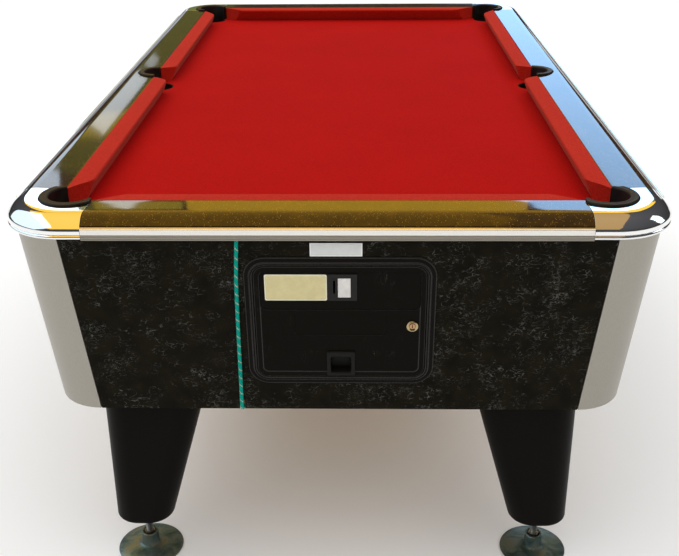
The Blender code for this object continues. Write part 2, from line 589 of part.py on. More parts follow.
    barrel = [(LOCK_X, -0.0068, -LOCK_S), (LOCK_X, 0.0155, -LOCK_S)]
    lock = rod("door_lock", *barrel, LOCK_RADIUS, BRASS, face, segments=24)
    collar = [(LOCK_X, -0.0060, -LOCK_S), (LOCK_X, DOOR_FRONT + 0.0012, -LOCK_S)]
    boolean(lock, rod("add_lock_ring", *collar, 0.0108, parent=face, segments=24), "UNION")
    reach = DOOR_X[1] + 0.0038 - LOCK_X
    cam = round_box((LOCK_X - 0.0070, LOCK_X + 0.0070), (LOCK_S - 0.0070, LOCK_S + reach), 0.004, 3)
    cam_depth = (SLEEVE_DEPTH + 0.0005, SLEEVE_DEPTH + 0.0028)
    boolean(lock, face_prism("add_lock_cam", cam, *cam_depth, parent=face), "UNION")
    keyway = [(LOCK_X - 0.0009, LOCK_S - 0.0040), (LOCK_X + 0.0009, LOCK_S - 0.0040),
              (LOCK_X + 0.0009, LOCK_S + 0.0040), (LOCK_X - 0.0009, LOCK_S + 0.0040)]
    boolean(lock, face_prism("cut_keyway", keyway, -0.02, 0.002, parent=face))


def add_cash_box():
    """Open sheet-metal box on the cabinet floor behind the door."""
    floor = CAB_BOTTOM + 0.0005 + BOARD + GAP
    box = block("cash_box", (-0.095, -0.978, floor), (0.095, -0.835, floor + 0.075), STEEL)
    boolean(box, block("cut_cash_box", (-0.093, -0.976, floor + 0.002), (0.093, -0.837, floor + 0.2)))


def add_ball_run():
    """Two sloping gutters from the pockets to the back, the outlet tray and the hinged gate."""
    u, w, h = RUN_HALF, RUN_WALL, RUN_HEIGHT
    section = [(-u, h), (-u, 0), (u, 0), (u, h), (u - w, h), (u - w, w), (w - u, w), (w - u, h)]
    for name, sx in (("left", -1), ("right", 1)):
        rings = [[(sx * (RUN_X + a), -0.985, RUN_FRONT_Z + b) for a, b in section],
                 [(sx * (RUN_X + a), RUN_Y + a, RUN_CORNER_Z + b) for a, b in section],
                 [(sx * RUN_END_X, RUN_Y + a, RUN_END_Z + b) for a, b in section]]
        lofted(f"ball_run_{name}", rings, PLASTIC)
    tray = block("ball_tray", (-TRAY_X, TRAY_Y[0], TRAY_Z[0]), (TRAY_X, TRAY_Y[1], TRAY_Z[1]), PLASTIC)
    for i, x in enumerate((-TRAY_X, TRAY_X - TRAY_WALL)):
        ear = block(f"add_tray_ear_{i}", (x, GATE_Y - 0.018, TRAY_Z[1] - 0.02),
                    (x + TRAY_WALL, GATE_Y + 0.018, GATE_Z + 0.015))
        boolean(tray, ear, "UNION")
    inner = TRAY_X - TRAY_WALL
    boolean(tray, block("cut_tray", (-inner, TRAY_Y[0] + TRAY_WALL, TRAY_Z[0] + TRAY_WALL),
                        (inner, TRAY_Y[1] - TRAY_WALL, 0.70)))
    boolean(tray, block("cut_tray_lip", (-inner, TRAY_Y[1] - 0.01, TRAY_LIP),
                        (inner, TRAY_Y[1] + 0.01, 0.70)))
    axis = [(-0.14, GATE_Y, GATE_Z), (0.14, GATE_Y, GATE_Z)]
    boolean(tray, rod("cut_gate_holes", *axis, GATE_ROD + 0.0006))
    gate = rod("ball_gate", (-0.1330, GATE_Y, GATE_Z), (0.1330, GATE_Y, GATE_Z), GATE_ROD, STEEL)
    for i, x in enumerate((-0.1210, 0.1180)):
        outline = [(GATE_Y - 0.003, GATE_Z), (GATE_Y + 0.040, 0.5915), (GATE_Y + 0.098, 0.5915),
                   (GATE_Y + 0.098, 0.6400), (GATE_Y + 0.003, GATE_Z + 0.003)]
        rings = [[(side, y, z) for y, z in outline] for side in (x, x + 0.003)]
        boolean(gate, lofted(f"add_gate_blade_{i}", rings), "UNION")


def smooth_path(points, spacing):
    """Points along a Catmull-Rom curve through the given ones."""
    points = [Vector(p) for p in points]
    padded = [2 * points[0] - points[1], *points, 2 * points[-1] - points[-2]]
    path = []
    for a, b, c, d in zip(padded, padded[1:], padded[2:], padded[3:]):
        count = max(1, round((c - b).length / spacing))
        for i in range(count):
            t = i / count
            path.append(0.5 * (2 * b + (c - a) * t + (2 * a - 5 * b + 4 * c - d) * t ** 2
                               + (3 * b - a - 3 * c + d) * t ** 3))
    return path + [points[-1]]


def add_rope():
    """A taut rope from under the front rail, down the panel, under its edge and up into the floor."""
    top_x, top_y = ROPE_TOP
    route = [(top_x, top_y, 0.7965), (top_x, top_y, 0.7865), (top_x, top_y, 0.7765),
             (-0.1755, -1.0310, 0.696), (-0.1782, -1.0203, 0.588), (-0.1797, -1.0116, 0.500),
             (-0.1808, -1.0064, 0.448)]
    bend = [(-1.0048, 0.4370), (-1.0017, 0.4269), (-0.9955, 0.4201), (-0.9870, 0.4174), (-0.9790, 0.4172),
            (-0.9715, 0.4193), (-0.9655, 0.4250), (-0.9625, 0.4330), (-0.9620, 0.4400)]
    path = smooth_path(route + [(ROPE_NOTCH_X, y, z) for y, z in bend], 0.016)
    curve = bpy.data.curves.new("rope", "CURVE")
    curve.dimensions = "3D"
    curve.bevel_depth = ROPE_RADIUS
    curve.bevel_resolution = 2
    curve.use_fill_caps = True
    spline = curve.splines.new("POLY")
    spline.points.add(len(path) - 1)
    for point, place in zip(spline.points, path):
        point.co = (*place, 1.0)
    curve.materials.append(material(ROPE_GREEN))
    rope = bpy.data.objects.new("rope", curve)
    bpy.context.scene.collection.objects.link(rope)


def main():
    for old in list(bpy.data.objects):
        bpy.data.objects.remove(old, do_unlink=True)
    add_bed()
    add_pocket_liners()
    add_cushions()
    add_rails()
    add_corner_castings()
    add_trims()
    face = add_panel_frame()
    add_cabinet(face)
    add_slate_frame()
    add_legs()
    add_feet()
    add_coin_door(face)
    add_cash_box()
    add_ball_run()
    add_rope()


main()
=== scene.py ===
"""The looks of a coin-operated pool table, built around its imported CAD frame. Metres, +Z up."""
import json
from math import copysign, cos, pi, radians, sin, tan

import bmesh
import bpy
from mathutils import Matrix, Vector


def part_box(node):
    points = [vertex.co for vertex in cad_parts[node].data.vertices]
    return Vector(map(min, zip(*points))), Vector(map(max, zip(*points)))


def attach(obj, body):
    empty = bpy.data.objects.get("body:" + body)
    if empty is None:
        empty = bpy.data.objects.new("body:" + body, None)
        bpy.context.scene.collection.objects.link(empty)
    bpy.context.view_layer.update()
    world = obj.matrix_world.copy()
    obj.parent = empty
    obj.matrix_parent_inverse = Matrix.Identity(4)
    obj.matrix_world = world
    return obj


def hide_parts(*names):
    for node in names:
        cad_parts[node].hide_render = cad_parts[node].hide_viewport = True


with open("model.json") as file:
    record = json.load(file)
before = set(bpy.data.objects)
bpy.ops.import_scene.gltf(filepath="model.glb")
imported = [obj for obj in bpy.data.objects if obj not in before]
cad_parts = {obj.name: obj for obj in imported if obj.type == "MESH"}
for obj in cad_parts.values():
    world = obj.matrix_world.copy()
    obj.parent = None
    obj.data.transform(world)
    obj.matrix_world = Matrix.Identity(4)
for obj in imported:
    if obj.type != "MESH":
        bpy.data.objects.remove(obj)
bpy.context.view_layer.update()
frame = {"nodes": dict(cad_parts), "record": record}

# Driving places, read from the frame
NOSE_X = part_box("cushion_right_front")[0].x
NOSE_Y = -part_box("cushion_front")[1].y
BED_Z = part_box("bed_cloth")[1].z
NOSE_Z = BED_Z + 0.035
RIM_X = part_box("trim_right")[1].x
RIM_Y = -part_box("trim_front")[0].y
RIM = RIM_X - NOSE_X                        # nose line to the outside of the trim
RAIL_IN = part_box("rail_right")[0].x - NOSE_X
RAIL_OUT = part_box("rail_right")[1].x - NOSE_X
RAIL_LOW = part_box("rail_right")[0].z
RAIL_CREST = 0.090
JOINT_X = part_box("rail_front")[1].x
JOINT_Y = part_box("rail_right")[1].y
CAB_HALF_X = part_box("corner_post_front_right")[1].x
CAB_HALF_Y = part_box("corner_post_back_right")[1].y
CAB_BOTTOM, CAB_TOP = (corner.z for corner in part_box("panel_front"))
CAB_LEAN = radians(5.0)
POST_RADIUS = 0.093
GAP = 0.0003
QUARTERS = {"front_left": (-1, -1), "front_right": (1, -1), "back_left": (-1, 1), "back_right": (1, 1)}
SIDES = {"front": "y-", "back": "y+", "left": "x-", "right": "x+"}
CORNER = {"x": 0.4755, "y": 0.933, "r_in": 0.040, "r_out": 0.057}
MIDDLE = {"x": 0.493, "y": 0.0, "r_in": 0.035, "r_out": 0.051}
POCKETS = [(name, CORNER, *signs) for name, signs in QUARTERS.items()]
POCKETS += [("middle_left", MIDDLE, -1, 0), ("middle_right", MIDDLE, 1, 0)]
POCKETS = [(*pocket, (pocket[2] * pocket[1]["x"], pocket[3] * pocket[1]["y"])) for pocket in POCKETS]
DROP_EDGE = 0.003                           # the cloth's hole is this much wider than the pocket
FOOT_X, FOOT_Y = 0.412, 0.889
# On the front panel: x across, s down its face from the top
FACE = Matrix.Translation((0.0, -CAB_HALF_Y, CAB_TOP)) @ Matrix.Rotation(CAB_LEAN, 4, "X")
DOOR_X, DOOR_S, DOOR_RADIUS = (-0.1480, 0.1590), (0.0535, 0.2880), 0.022
HINGE_X = DOOR_X[0] + DOOR_RADIUS
ACCEPTOR = ((-0.0167, 0.0358), (0.0702, 0.1242))
LOCK = (0.1339, 0.1764)
OUTLET = ((-0.115, 0.530), (0.115, 0.612))  # low and high (x, z) corners in the back panel
ROPE_TOP = (-0.1709, -1.0372)
ROPE_END_X = -0.1811


# ---- materials

class Finish:
    """A node material: one Principled shader and short calls for the nodes that feed it."""

    def __init__(self, name, colour, roughness, metallic=0.0, **fixed):
        self.material = bpy.data.materials.new(name)
        self.material.use_nodes = True
        self.tree = self.material.node_tree
        self.shader = self.tree.nodes["Principled BSDF"]
        sockets = {"Base Color": (*colour, 1.0), "Roughness": roughness, "Metallic": metallic, **fixed}
        for key, value in sockets.items():
            self.shader.inputs[key.replace("_", " ")].default_value = value
        self.place = self.node("ShaderNodeTexCoord", "Object")

    def feed(self, socket, value):
        if isinstance(value, bpy.types.NodeSocket):
            self.tree.links.new(value, socket)
        else:
            socket.default_value = value

    def node(self, kind, output, inputs=None, **settings):
        """The output of a new node, its inputs fed with values or other outputs."""
        made = self.tree.nodes.new(kind)
        for key, value in settings.items():
            setattr(made, key, value)
        for key, value in (inputs or {}).items():
            self.feed(made.inputs[key], value)
        return made.outputs[output]

    def noise(self, scale, detail=2.0, roughness=0.5, distortion=0.0, stretch=None, turn=(0, 0, 0)):
        """Noise over the piece, its coordinates stretched by a scale for each axis, and turned."""
        place = self.place
        if stretch:
            place = self.node("ShaderNodeMapping", "Vector",
                              {"Vector": place, "Rotation": turn, "Scale": stretch})
        return self.node("ShaderNodeTexNoise", "Fac", {"Vector": place, "Scale": scale, "Detail": detail,
                                                       "Roughness": roughness, "Distortion": distortion})

    def cells(self, scale, output="Distance"):
        return self.node("ShaderNodeTexVoronoi", output, {"Vector": self.place, "Scale": scale})

    def ramp(self, value, *stops):
        """Colours or greys by value: stops are (position, colour or grey)."""
        made = self.tree.nodes.new("ShaderNodeValToRGB")
        self.feed(made.inputs["Fac"], value)
        points = made.color_ramp.elements
        while len(points) < len(stops):
            points.new(0.5)
        for point, (position, colour) in zip(points, stops):
            point.position = position
            point.color = (*colour, 1.0) if isinstance(colour, tuple) else (colour,) * 3 + (1.0,)
        return made.outputs["Color"]

    def maths(self, operation, a, b=0.0):
        return self.node("ShaderNodeMath", 0, {0: a, 1: b}, operation=operation)

    def times(self, a, b):
        return self.maths("MULTIPLY", a, b)

    def blend(self, factor, a, b):
        """Colour a, going to colour b with the factor; a mix node's colours are inputs 6 and 7, output 2."""
        a, b = ((*value, 1.0) if isinstance(value, tuple) else value for value in (a, b))
        return self.node("ShaderNodeMix", 2, {0: factor, 6: a, 7: b}, data_type="RGBA")

    def colour(self, value):
        self.feed(self.shader.inputs["Base Color"], value)

    def rough(self, value, low, high):
        spread = self.node("ShaderNodeMapRange", "Result", {"Value": value, "To Min": low, "To Max": high})
        self.feed(self.shader.inputs["Roughness"], spread)

    def bump(self, height, distance, strength):
        raised = self.node("ShaderNodeBump", "Normal",
                           {"Height": height, "Distance": distance, "Strength": strength})
        self.feed(self.shader.inputs["Normal"], raised)


def shade(colour, share):
    return tuple(c * share for c in colour)


def cloth(name, deep, worn, sheen):
    """Napped wool cloth: short fibres lying along the table, with faint shading and wear."""
    made = Finish(name, deep, 0.92, Specular_IOR_Level=0.05, Sheen_Weight=sheen, Sheen_Roughness=0.45,
                  Sheen_Tint=(1.0, 0.42, 0.30, 1.0))
    fibre = made.noise(1.0, 3, 0.7, stretch=(2600, 700, 2600))
    tufts = made.noise(380.0, 3, 0.6)
    patch = made.noise(6.0, 4, 0.6)
    nap = made.maths("ADD", made.times(fibre, 0.3), made.times(tufts, 0.6))
    tone = made.maths("ADD", nap, made.times(patch, 0.1))
    base = made.ramp(tone, (0.36, shade(deep, 0.62)), (0.50, deep), (0.64, worn))
    specks = made.ramp(made.cells(330.0), (0.0, 1.0), (0.035, 0.0))
    lint = made.times(specks, made.ramp(made.noise(30.0), (0.45, 0.0), (0.70, 0.5)))
    made.colour(made.blend(lint, base, (0.80, 0.30, 0.22)))
    made.bump(fibre, 0.0004, 0.6)
    return made.material


def rail_laminate(name):
    """High-gloss dark brown laminate with fine gold flecks, a little wavy under its gloss."""
    made = Finish(name, (0.030, 0.012, 0.001), 0.4, Specular_IOR_Level=0.0, Coat_Weight=1.0,
                  Coat_Roughness=0.05, Coat_IOR=1.5)
    cloud = made.noise(24.0, 5, 0.6, 0.8)
    base = made.ramp(cloud, (0.30, (0.014, 0.006, 0.001)), (0.55, (0.036, 0.015, 0.001)),
                     (0.75, (0.060, 0.026, 0.002)))
    fleck = made.ramp(made.cells(460.0), (0.06, 1.0), (0.26, 0.0))
    some = made.ramp(made.cells(460.0, "Color"), (0.60, 0.0), (0.72, 1.0))
    made.colour(made.blend(made.times(fleck, some), base, (0.85, 0.48, 0.05)))
    made.bump(made.noise(11.0, 3, 0.5), 0.0012, 0.45)
    return made.material


def chrome(name):
    """Polished plate over a cast corner: faint ripple, fine wiping scratches, pinprick pits."""
    plate = (0.86, 0.86, 0.85)
    made = Finish(name, plate, 0.05, 1.0)
    wipe = made.noise(1.0, 3, 0.6, 0.2, (900, 60, 900), (0.3, 0.2, 0.9))
    made.rough(made.ramp(wipe, (0.45, 0.0), (0.75, 1.0)), 0.035, 0.13)
    pits = made.ramp(made.cells(420.0), (0.0, 1.0), (0.05, 0.0))
    rare = made.ramp(made.noise(40.0), (0.60, 0.0), (0.70, 1.0))
    made.colour(made.blend(made.times(pits, rare), plate, (0.22, 0.20, 0.17)))
    made.bump(made.noise(16.0, 2, 0.4), 0.0010, 0.18)
    return made.material


def brushed(name, colour, along, low, high):
    """Metal with fine lines: along is the mapping scale, small on the axis the lines follow."""
    made = Finish(name, colour, low, 1.0)
    lines = made.noise(1.0, 4, 0.65, stretch=along)
    smudge = made.ramp(made.noise(11.0, 4, 0.6), (0.3, 0.75), (0.7, 1.0))
    made.rough(made.times(lines, smudge), low, high)
    made.colour(made.blend(made.ramp(lines, (0.35, 0.0), (0.65, 1.0)), shade(colour, 0.86), colour))
    made.bump(lines, 0.00008, 0.5)
    return made.material


def cabinet_laminate(name):
    """Near-black laminate with tufts of fine grey strands printed in it."""
    made = Finish(name, (0.010, 0.0075, 0.005), 0.42, Specular_IOR_Level=0.04)
    strands = None
    layers = (((0.4, 0.9, 0.3), 62.0, 15.0), ((1.3, 0.2, 1.1), 78.0, 19.0), ((2.1, 1.4, 0.5), 96.0, 13.0),
              ((0.9, 2.3, 1.9), 70.0, 23.0), ((2.7, 0.6, 2.2), 110.0, 17.0))
    for turn, fine, cluster in layers:
        field = made.noise(fine, 1.6, 0.45, 0.3, (1.0, 0.8, 1.7), turn)
        near = made.maths("ABSOLUTE", made.maths("SUBTRACT", field, 0.5))
        line = made.ramp(near, (0.003, 1.0), (0.018, 0.0))
        tuft = made.noise(cluster, 3, 0.6, 0.0, (1, 1, 1), turn)
        line = made.times(line, made.ramp(tuft, (0.535, 0.0), (0.67, 1.0)))
        strands = line if strands is None else made.maths("MAXIMUM", strands, line)
    broken = made.ramp(made.noise(110.0, 2), (0.38, 0.0), (0.54, 1.0))
    base = made.ramp(made.noise(30.0, 4), (0.35, (0.0050, 0.0042, 0.0020)), (0.65, (0.0100, 0.0078, 0.0036)))
    made.colour(made.blend(made.times(strands, broken), base, (0.118, 0.118, 0.104)))
    made.rough(made.noise(180.0, 3), 0.34, 0.50)
    made.bump(made.noise(900.0, 2), 0.00005, 0.4)
    return made.material


def black_coat(name, colour, low, high, grain_scale, scuffs=0.0, gloss=0.04):
    """Black paint or moulding: fine grain, and a few faint scuffs."""
    made = Finish(name, colour, low, Specular_IOR_Level=gloss)
    grain = made.noise(grain_scale, 3, 0.6)
    made.rough(grain, low, high)
    if scuffs:
        field = made.noise(1.0, 2, 0.5, 0.5, (260, 40, 22), (0.5, 0.2, 0.4))
        near = made.maths("ABSOLUTE", made.maths("SUBTRACT", field, 0.5))
        line = made.ramp(near, (0.0, 1.0), (0.006, 0.0))
        some = made.ramp(made.noise(26.0, 2), (0.60, 0.0), (0.70, scuffs))
        made.colour(made.blend(made.times(line, some), colour, (0.16, 0.13, 0.11)))
    else:
        share = made.ramp(grain, (0.3, 0.0), (0.7, 1.0))
        made.colour(made.blend(share, shade(colour, 0.75), shade(colour, 1.3)))
    made.bump(grain, 0.00012, 0.35)
    return made.material


def mottled(name, colour, roughness, tone, stops, rough, bump, metallic=0.0, gloss=0.5, **fixed):
    """A plain stuff, slightly uneven: tone, rough[0] and bump[0] are noises, stops colour the tone."""
    made = Finish(name, colour, roughness, metallic, Specular_IOR_Level=gloss, **fixed)
    spread = made.noise(*tone)
    made.colour(made.ramp(spread, *stops))
    made.rough(made.noise(*rough[0]) if rough[0] else spread, *rough[1:])
    made.bump(made.noise(*bump[0]), *bump[1:])
    return made.material


def moulded(name, colour, roughness, worn=None):
    """Smooth moulded plastic, greying where it is handled."""
    return mottled(name, colour, roughness, (60.0, 4, 0.6),
                   ((0.35, shade(colour, 0.90)), (0.70, worn or colour)),
                   (None, roughness * 0.8, roughness * 1.25), ((700.0, 2), 0.00004, 0.4), gloss=0.15)


def paper(name, colour, edge):
    """A blank printed card under a thin clear face."""
    return mottled(name, colour, 0.35, (70.0, 5, 0.7), ((0.30, edge), (0.62, colour)), ((30.0,), 0.28, 0.45),
                   ((420.0, 2), 0.00003, 0.4), Coat_Weight=0.3, Coat_Roughness=0.12)


def braid(name):
    """Braided cord: teal strands with diagonal rows of pale flecks; the mesh's UV runs round and along."""
    made = Finish(name, (0.0, 0.33, 0.24), 0.8, Specular_IOR_Level=0.1)
    uv = made.node("ShaderNodeTexCoord", "UV")
    around, along = (made.node("ShaderNodeSeparateXYZ", axis, {0: uv}) for axis in "XY")
    steps = made.maths("FRACT", made.maths("ADD", made.times(along, 1 / 0.018), around))
    row = made.maths("LESS_THAN", steps, 0.15)
    dots = made.maths("LESS_THAN", made.maths("FRACT", made.times(around, 8.0)), 0.62)
    tone = made.noise(900.0, 2)
    base = made.ramp(tone, (0.3, (0.0, 0.19, 0.14)), (0.7, (0.0, 0.44, 0.33)))
    made.colour(made.blend(made.times(row, dots), base, (0.62, 0.44, 0.37)))
    made.bump(tone, 0.0003, 0.6)
    return made.material


# The trims' lip: smoother metal, with a lighter, warmer colour that is a painted highlight
LIP_POLISH_AND_HIGHLIGHT = brushed("lip_polish_and_highlight", (0.93, 0.88, 0.74), (40, 40, 2600), 0.08, 0.16)
# The trims' flutes: a darker metal that is painted shade
FLUTE_SHADE = brushed("flute_painted_shade", (0.34, 0.315, 0.27), (300, 300, 900), 0.28, 0.45)
# Painted highlight: a lighter, glossier black laid on the door's and frame's edges
EDGE_HIGHLIGHT = black_coat("painted_edge_highlight", (0.030, 0.028, 0.026), 0.22, 0.34, 600.0, gloss=0.12)
STUFFS = {
    "bed_cloth": (cloth, (0.365, 0.0018, 0.0012), (0.415, 0.0040, 0.0026), 0.022),
    # The cushions' cloth is the bed's cloth made lighter and pinker: painted light on the cushions
    "cushion_cloth": (cloth, (0.400, 0.012, 0.0055), (0.480, 0.028, 0.012), 0.14),
    "rail_laminate": (rail_laminate,),
    "casting_chrome": (chrome,),
    "trim_aluminium": (brushed, (0.83, 0.81, 0.76), (40, 40, 2600), 0.16, 0.34),
    "post_aluminium": (brushed, (0.37, 0.345, 0.30), (1500, 1500, 14), 0.30, 0.50),
    "cabinet_laminate": (cabinet_laminate,),
    "frame_black": (black_coat, (0.0060, 0.0052, 0.0040), 0.26, 0.42, 700.0),
    "door_black": (black_coat, (0.0050, 0.0044, 0.0030), 0.30, 0.46, 620.0, 0.55),
    "acceptor_plastic": (moulded, (0.016, 0.015, 0.014), 0.40),
    "button_white": (moulded, (0.78, 0.74, 0.70), 0.30, (0.84, 0.82, 0.78)),
    "flap_plastic": (moulded, (0.0060, 0.0055, 0.0045), 0.50),
    "lock_chrome": (brushed, (0.48, 0.37, 0.20), (300, 300, 300), 0.08, 0.20),
    # Moulded rubber with a dusty bloom
    "pocket_rubber": (
        mottled, (0.006, 0.005, 0.0045), 0.5, (45.0, 4, 0.65),
        ((0.35, (0.0040, 0.0034, 0.0030)), (0.7, (0.012, 0.0105, 0.009))),
        (None, 0.38, 0.62), ((1400.0, 2), 0.00008, 0.5), 0.0, 0.25),
    "leg_black": (black_coat, (0.0055, 0.0048, 0.0040), 0.30, 0.46, 420.0),
    # Passivated zinc: grey with teal, olive and straw patches, dulled by floor dirt
    "foot_zinc": (
        mottled, (0.30, 0.34, 0.32), 0.35, (34.0, 4, 0.6, 0.7),
        ((0.28, (0.05, 0.075, 0.070)), (0.42, (0.09, 0.15, 0.145)), (0.55, (0.17, 0.22, 0.20)),
         (0.66, (0.20, 0.20, 0.14)), (0.80, (0.12, 0.10, 0.07))),
        ((90.0, 4, 0.7), 0.24, 0.58), ((300.0, 3), 0.00010, 0.4), 0.85),
    "stud_steel": (brushed, (0.26, 0.27, 0.25), (200, 200, 1600), 0.22, 0.45),
    # Sawn softwood and board for what lies inside
    "bare_timber": (
        mottled, (0.45, 0.30, 0.16), 0.8, (1.0, 4, 0.6, 1.2, (26, 3, 30)),
        ((0.32, (0.30, 0.18, 0.085)), (0.52, (0.50, 0.34, 0.18)), (0.7, (0.62, 0.46, 0.28))),
        (None, 0.68, 0.88), ((1.0, 3, 0.5, 0.0, (900, 60, 900)), 0.0002, 0.5)),
    "slate": (
        mottled, (0.085, 0.090, 0.095), 0.75, (16.0, 6, 0.65),
        ((0.35, (0.060, 0.064, 0.068)), (0.7, (0.125, 0.130, 0.135))),
        ((200.0, 3), 0.62, 0.85), ((1.0, 4, 0.5, 0.0, (220, 60, 400)), 0.0003, 0.4)),
    "sheet_steel": (brushed, (0.55, 0.56, 0.57), (30, 500, 500), 0.28, 0.48),
    "ball_run_plastic": (moulded, (0.035, 0.035, 0.037), 0.5),
    "gate_steel": (brushed, (0.52, 0.52, 0.50), (60, 800, 800), 0.25, 0.45),
    "rope_green": (braid,),
}
FINISHES = {name: make(name, *values) for name, (make, *values) in STUFFS.items()}
CREAM_CARD = paper("cream_card", (0.70, 0.61, 0.30), (0.62, 0.53, 0.25))
PALE_CARD = paper("pale_card", (0.84, 0.80, 0.62), (0.78, 0.74, 0.56))
WHITE_LABEL = paper("white_label", (0.88, 0.88, 0.87), (0.80, 0.80, 0.79))
LABEL_FIELD = paper("label_field", (0.72, 0.735, 0.71), (0.66, 0.675, 0.65))
COPPER = brushed("lock_core", (0.55, 0.30, 0.16), (300, 300, 300), 0.16, 0.34)
SLOT_OF = {row["node"]: row["material_slot"] for row in frame["record"]["subparts"]}
BODY_OF = {name: body for body, members in frame["record"]["behaviour"]["bodies"].items() for name in members}
for name, slot in SLOT_OF.items():
    coats = frame["nodes"][name].data.materials
    coats.clear()
    coats.append(FINISHES[slot])


# ---- mesh helpers

def linked(name, data):
    made = bpy.data.objects.new(name, data)
    bpy.context.scene.collection.objects.link(made)
    return made


def piece_of(name, bm, material=None, sharp=30.0):
    """A named object from a bmesh, smooth but for edges sharper than the angle."""
    bmesh.ops.recalc_face_normals(bm, faces=bm.faces)
    mesh = bpy.data.meshes.new(name)
    bm.to_mesh(mesh)
    bm.free()
    mesh.shade_smooth()
    mesh.set_sharp_from_angle(angle=radians(sharp))
    if material:
        mesh.materials.append(material)
    return linked(name, mesh)


def lofted(name, rings, material=None, closed=False, matrix=None, sharp=30.0):
    """A solid through rings of points: capped at both ends, or closed round on itself."""
    bm = bmesh.new()
    loops = [[bm.verts.new(matrix @ Vector(p) if matrix else p) for p in ring] for ring in rings]
    count = len(loops[0])
    pairs = list(zip(loops, loops[1:])) + ([(loops[-1], loops[0])] if closed else [])
    for a, b in pairs:
        for i in range(count):
            j = (i + 1) % count
            bm.faces.new((a[i], a[j], b[j], b[i]))
    if not closed:
        bm.faces.new(loops[0])
        bm.faces.new(loops[-1])
    return piece_of(name, bm, material, sharp)


def circle(segments):
    return [2 * pi * i / segments for i in range(segments)]


def turned(name, profile, centre, segments=64, matrix=None, material=None):
    """A solid of revolution about Z: a closed profile of (radius, height) points off the axis."""
    rings = [[(centre[0] + r * cos(a), centre[1] + r * sin(a), z) for r, z in profile]
             for a in circle(segments)]
    return lofted(name, rings, material, closed=True, matrix=matrix)


def rod(name, start, end, radius, segments=48, matrix=None):
    """A round bar between two points."""
    start, end = Vector(start), Vector(end)
    spin = (end - start).to_track_quat("Z", "Y").to_matrix()
    rings = [[point + spin @ Vector((radius * cos(a), radius * sin(a), 0)) for a in circle(segments)]
             for point in (start, end)]
    return lofted(name, rings, matrix=matrix)


def filleted(corners, segments=8):
    """An outline through (x, y, radius) corners, each rounded by its radius."""
    points = []
    for i, (x, y, radius) in enumerate(corners):
        here = Vector((x, y))
        back = (Vector(corners[i - 1][:2]) - here).normalized()
        ahead = (Vector(corners[(i + 1) % len(corners)][:2]) - here).normalized()
        if radius == 0:
            points.append((x, y))
            continue
        half = back.angle(ahead) / 2
        centre = here + (back + ahead).normalized() * (radius / sin(half))
        first = here + back * (radius / tan(half)) - centre
        last = here + ahead * (radius / tan(half)) - centre
        sweep = first.angle_signed(last)
        for step in range(segments + 1):
            turn = -sweep * step / segments
            c, s = cos(turn), sin(turn)
            points.append((centre.x + first.x * c - first.y * s, centre.y + first.x * s + first.y * c))
    return points


def round_box(x, y, radius, segments=8):
    return filleted([(x[0], y[0], radius), (x[1], y[0], radius), (x[1], y[1], radius), (x[0], y[1], radius)],
                    segments)


def cut(target, *others, operation="DIFFERENCE"):
    """Cut, join or intersect the target with helper objects."""
    for other in others:
        step = target.modifiers.new(operation.lower(), "BOOLEAN")
        step.operation = operation
        step.object = other
        step.solver = "EXACT"
    return target


def settle(target, bevel=0.0, angle=32.0, segments=3):
    """Apply the cuts, round the edges, keep flat faces flat in shading, and drop the helpers."""
    if bevel:
        step = target.modifiers.new("edges", "BEVEL")
        step.width, step.segments = bevel, segments
        step.limit_method, step.angle_limit = "ANGLE", radians(angle)
        step.miter_outer = "MITER_ARC"
    bpy.context.view_layer.update()
    final = bpy.data.meshes.new_from_object(target.evaluated_get(bpy.context.evaluated_depsgraph_get()))
    helpers = [step.object for step in target.modifiers if step.type == "BOOLEAN"]
    target.modifiers.clear()
    target.data = final
    final.shade_smooth()
    final.set_sharp_from_angle(angle=radians(angle))
    weighted = target.modifiers.new("flat_faces", "WEIGHTED_NORMAL")
    weighted.weight, weighted.keep_sharp = 60, True
    for helper in helpers:
        bpy.data.objects.remove(helper, do_unlink=True)
    return target


def stand_for(made, *nodes, body=None, slot=None):
    """The piece replaces the nodes: it rides with the first one's body and takes its slot and finish."""
    slot = slot or SLOT_OF[nodes[0]]
    if not made.data.materials:
        made.data.materials.append(FINISHES[slot])
    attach(made, body or BODY_OF[nodes[0]])
    if nodes:
        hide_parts(*nodes)
    return made


def placed(side, along, d, z):
    """A point on a side ("x+", "x-", "y+", "y-"): along it, d out from its nose line, at height z."""
    sign = 1 if side[1] == "+" else -1
    return (sign * (NOSE_X + d), along, z) if side[0] == "x" else (along, sign * (NOSE_Y + d), z)


def swept(side, section, start, end, steps):
    """Rings of a (d, z) cross-section carried along a side."""
    places = [start + (end - start) * i / steps for i in range(steps + 1)]
    return [[placed(side, along, d, z) for d, z in section] for along in places]


def reach_of(side):
    return JOINT_Y if side[0] == "x" else JOINT_X


def arc(centre, radius, start, end, steps):
    """(d, z) points on an arc in a cross-section, angles in degrees."""
    turns = (radians(start + (end - start) * i / steps) for i in range(steps + 1))
    return [(centre[0] + radius * cos(a), centre[1] + radius * sin(a)) for a in turns]


# ---- playing surface

def add_bed_cloth():
    """The stretched cloth: one sheet, turned down a little round each pocket's drop."""
    low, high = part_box("bed_cloth")
    outline = round_box((low.x, high.x), (low.y, high.y), 0.05)
    made = lofted("bed_cloth_sheet", [[(x, y, z) for x, y in outline] for z in (low.z, high.z)])
    holes = [rod(f"hole_{name}", (*centre, 0.70), (*centre, 0.90), pocket["r_in"] + DROP_EDGE)
             for name, pocket, _, _, centre in POCKETS]
    settle(cut(made, *holes), 0.0006, 50, 2)
    stand_for(made, "bed_cloth")


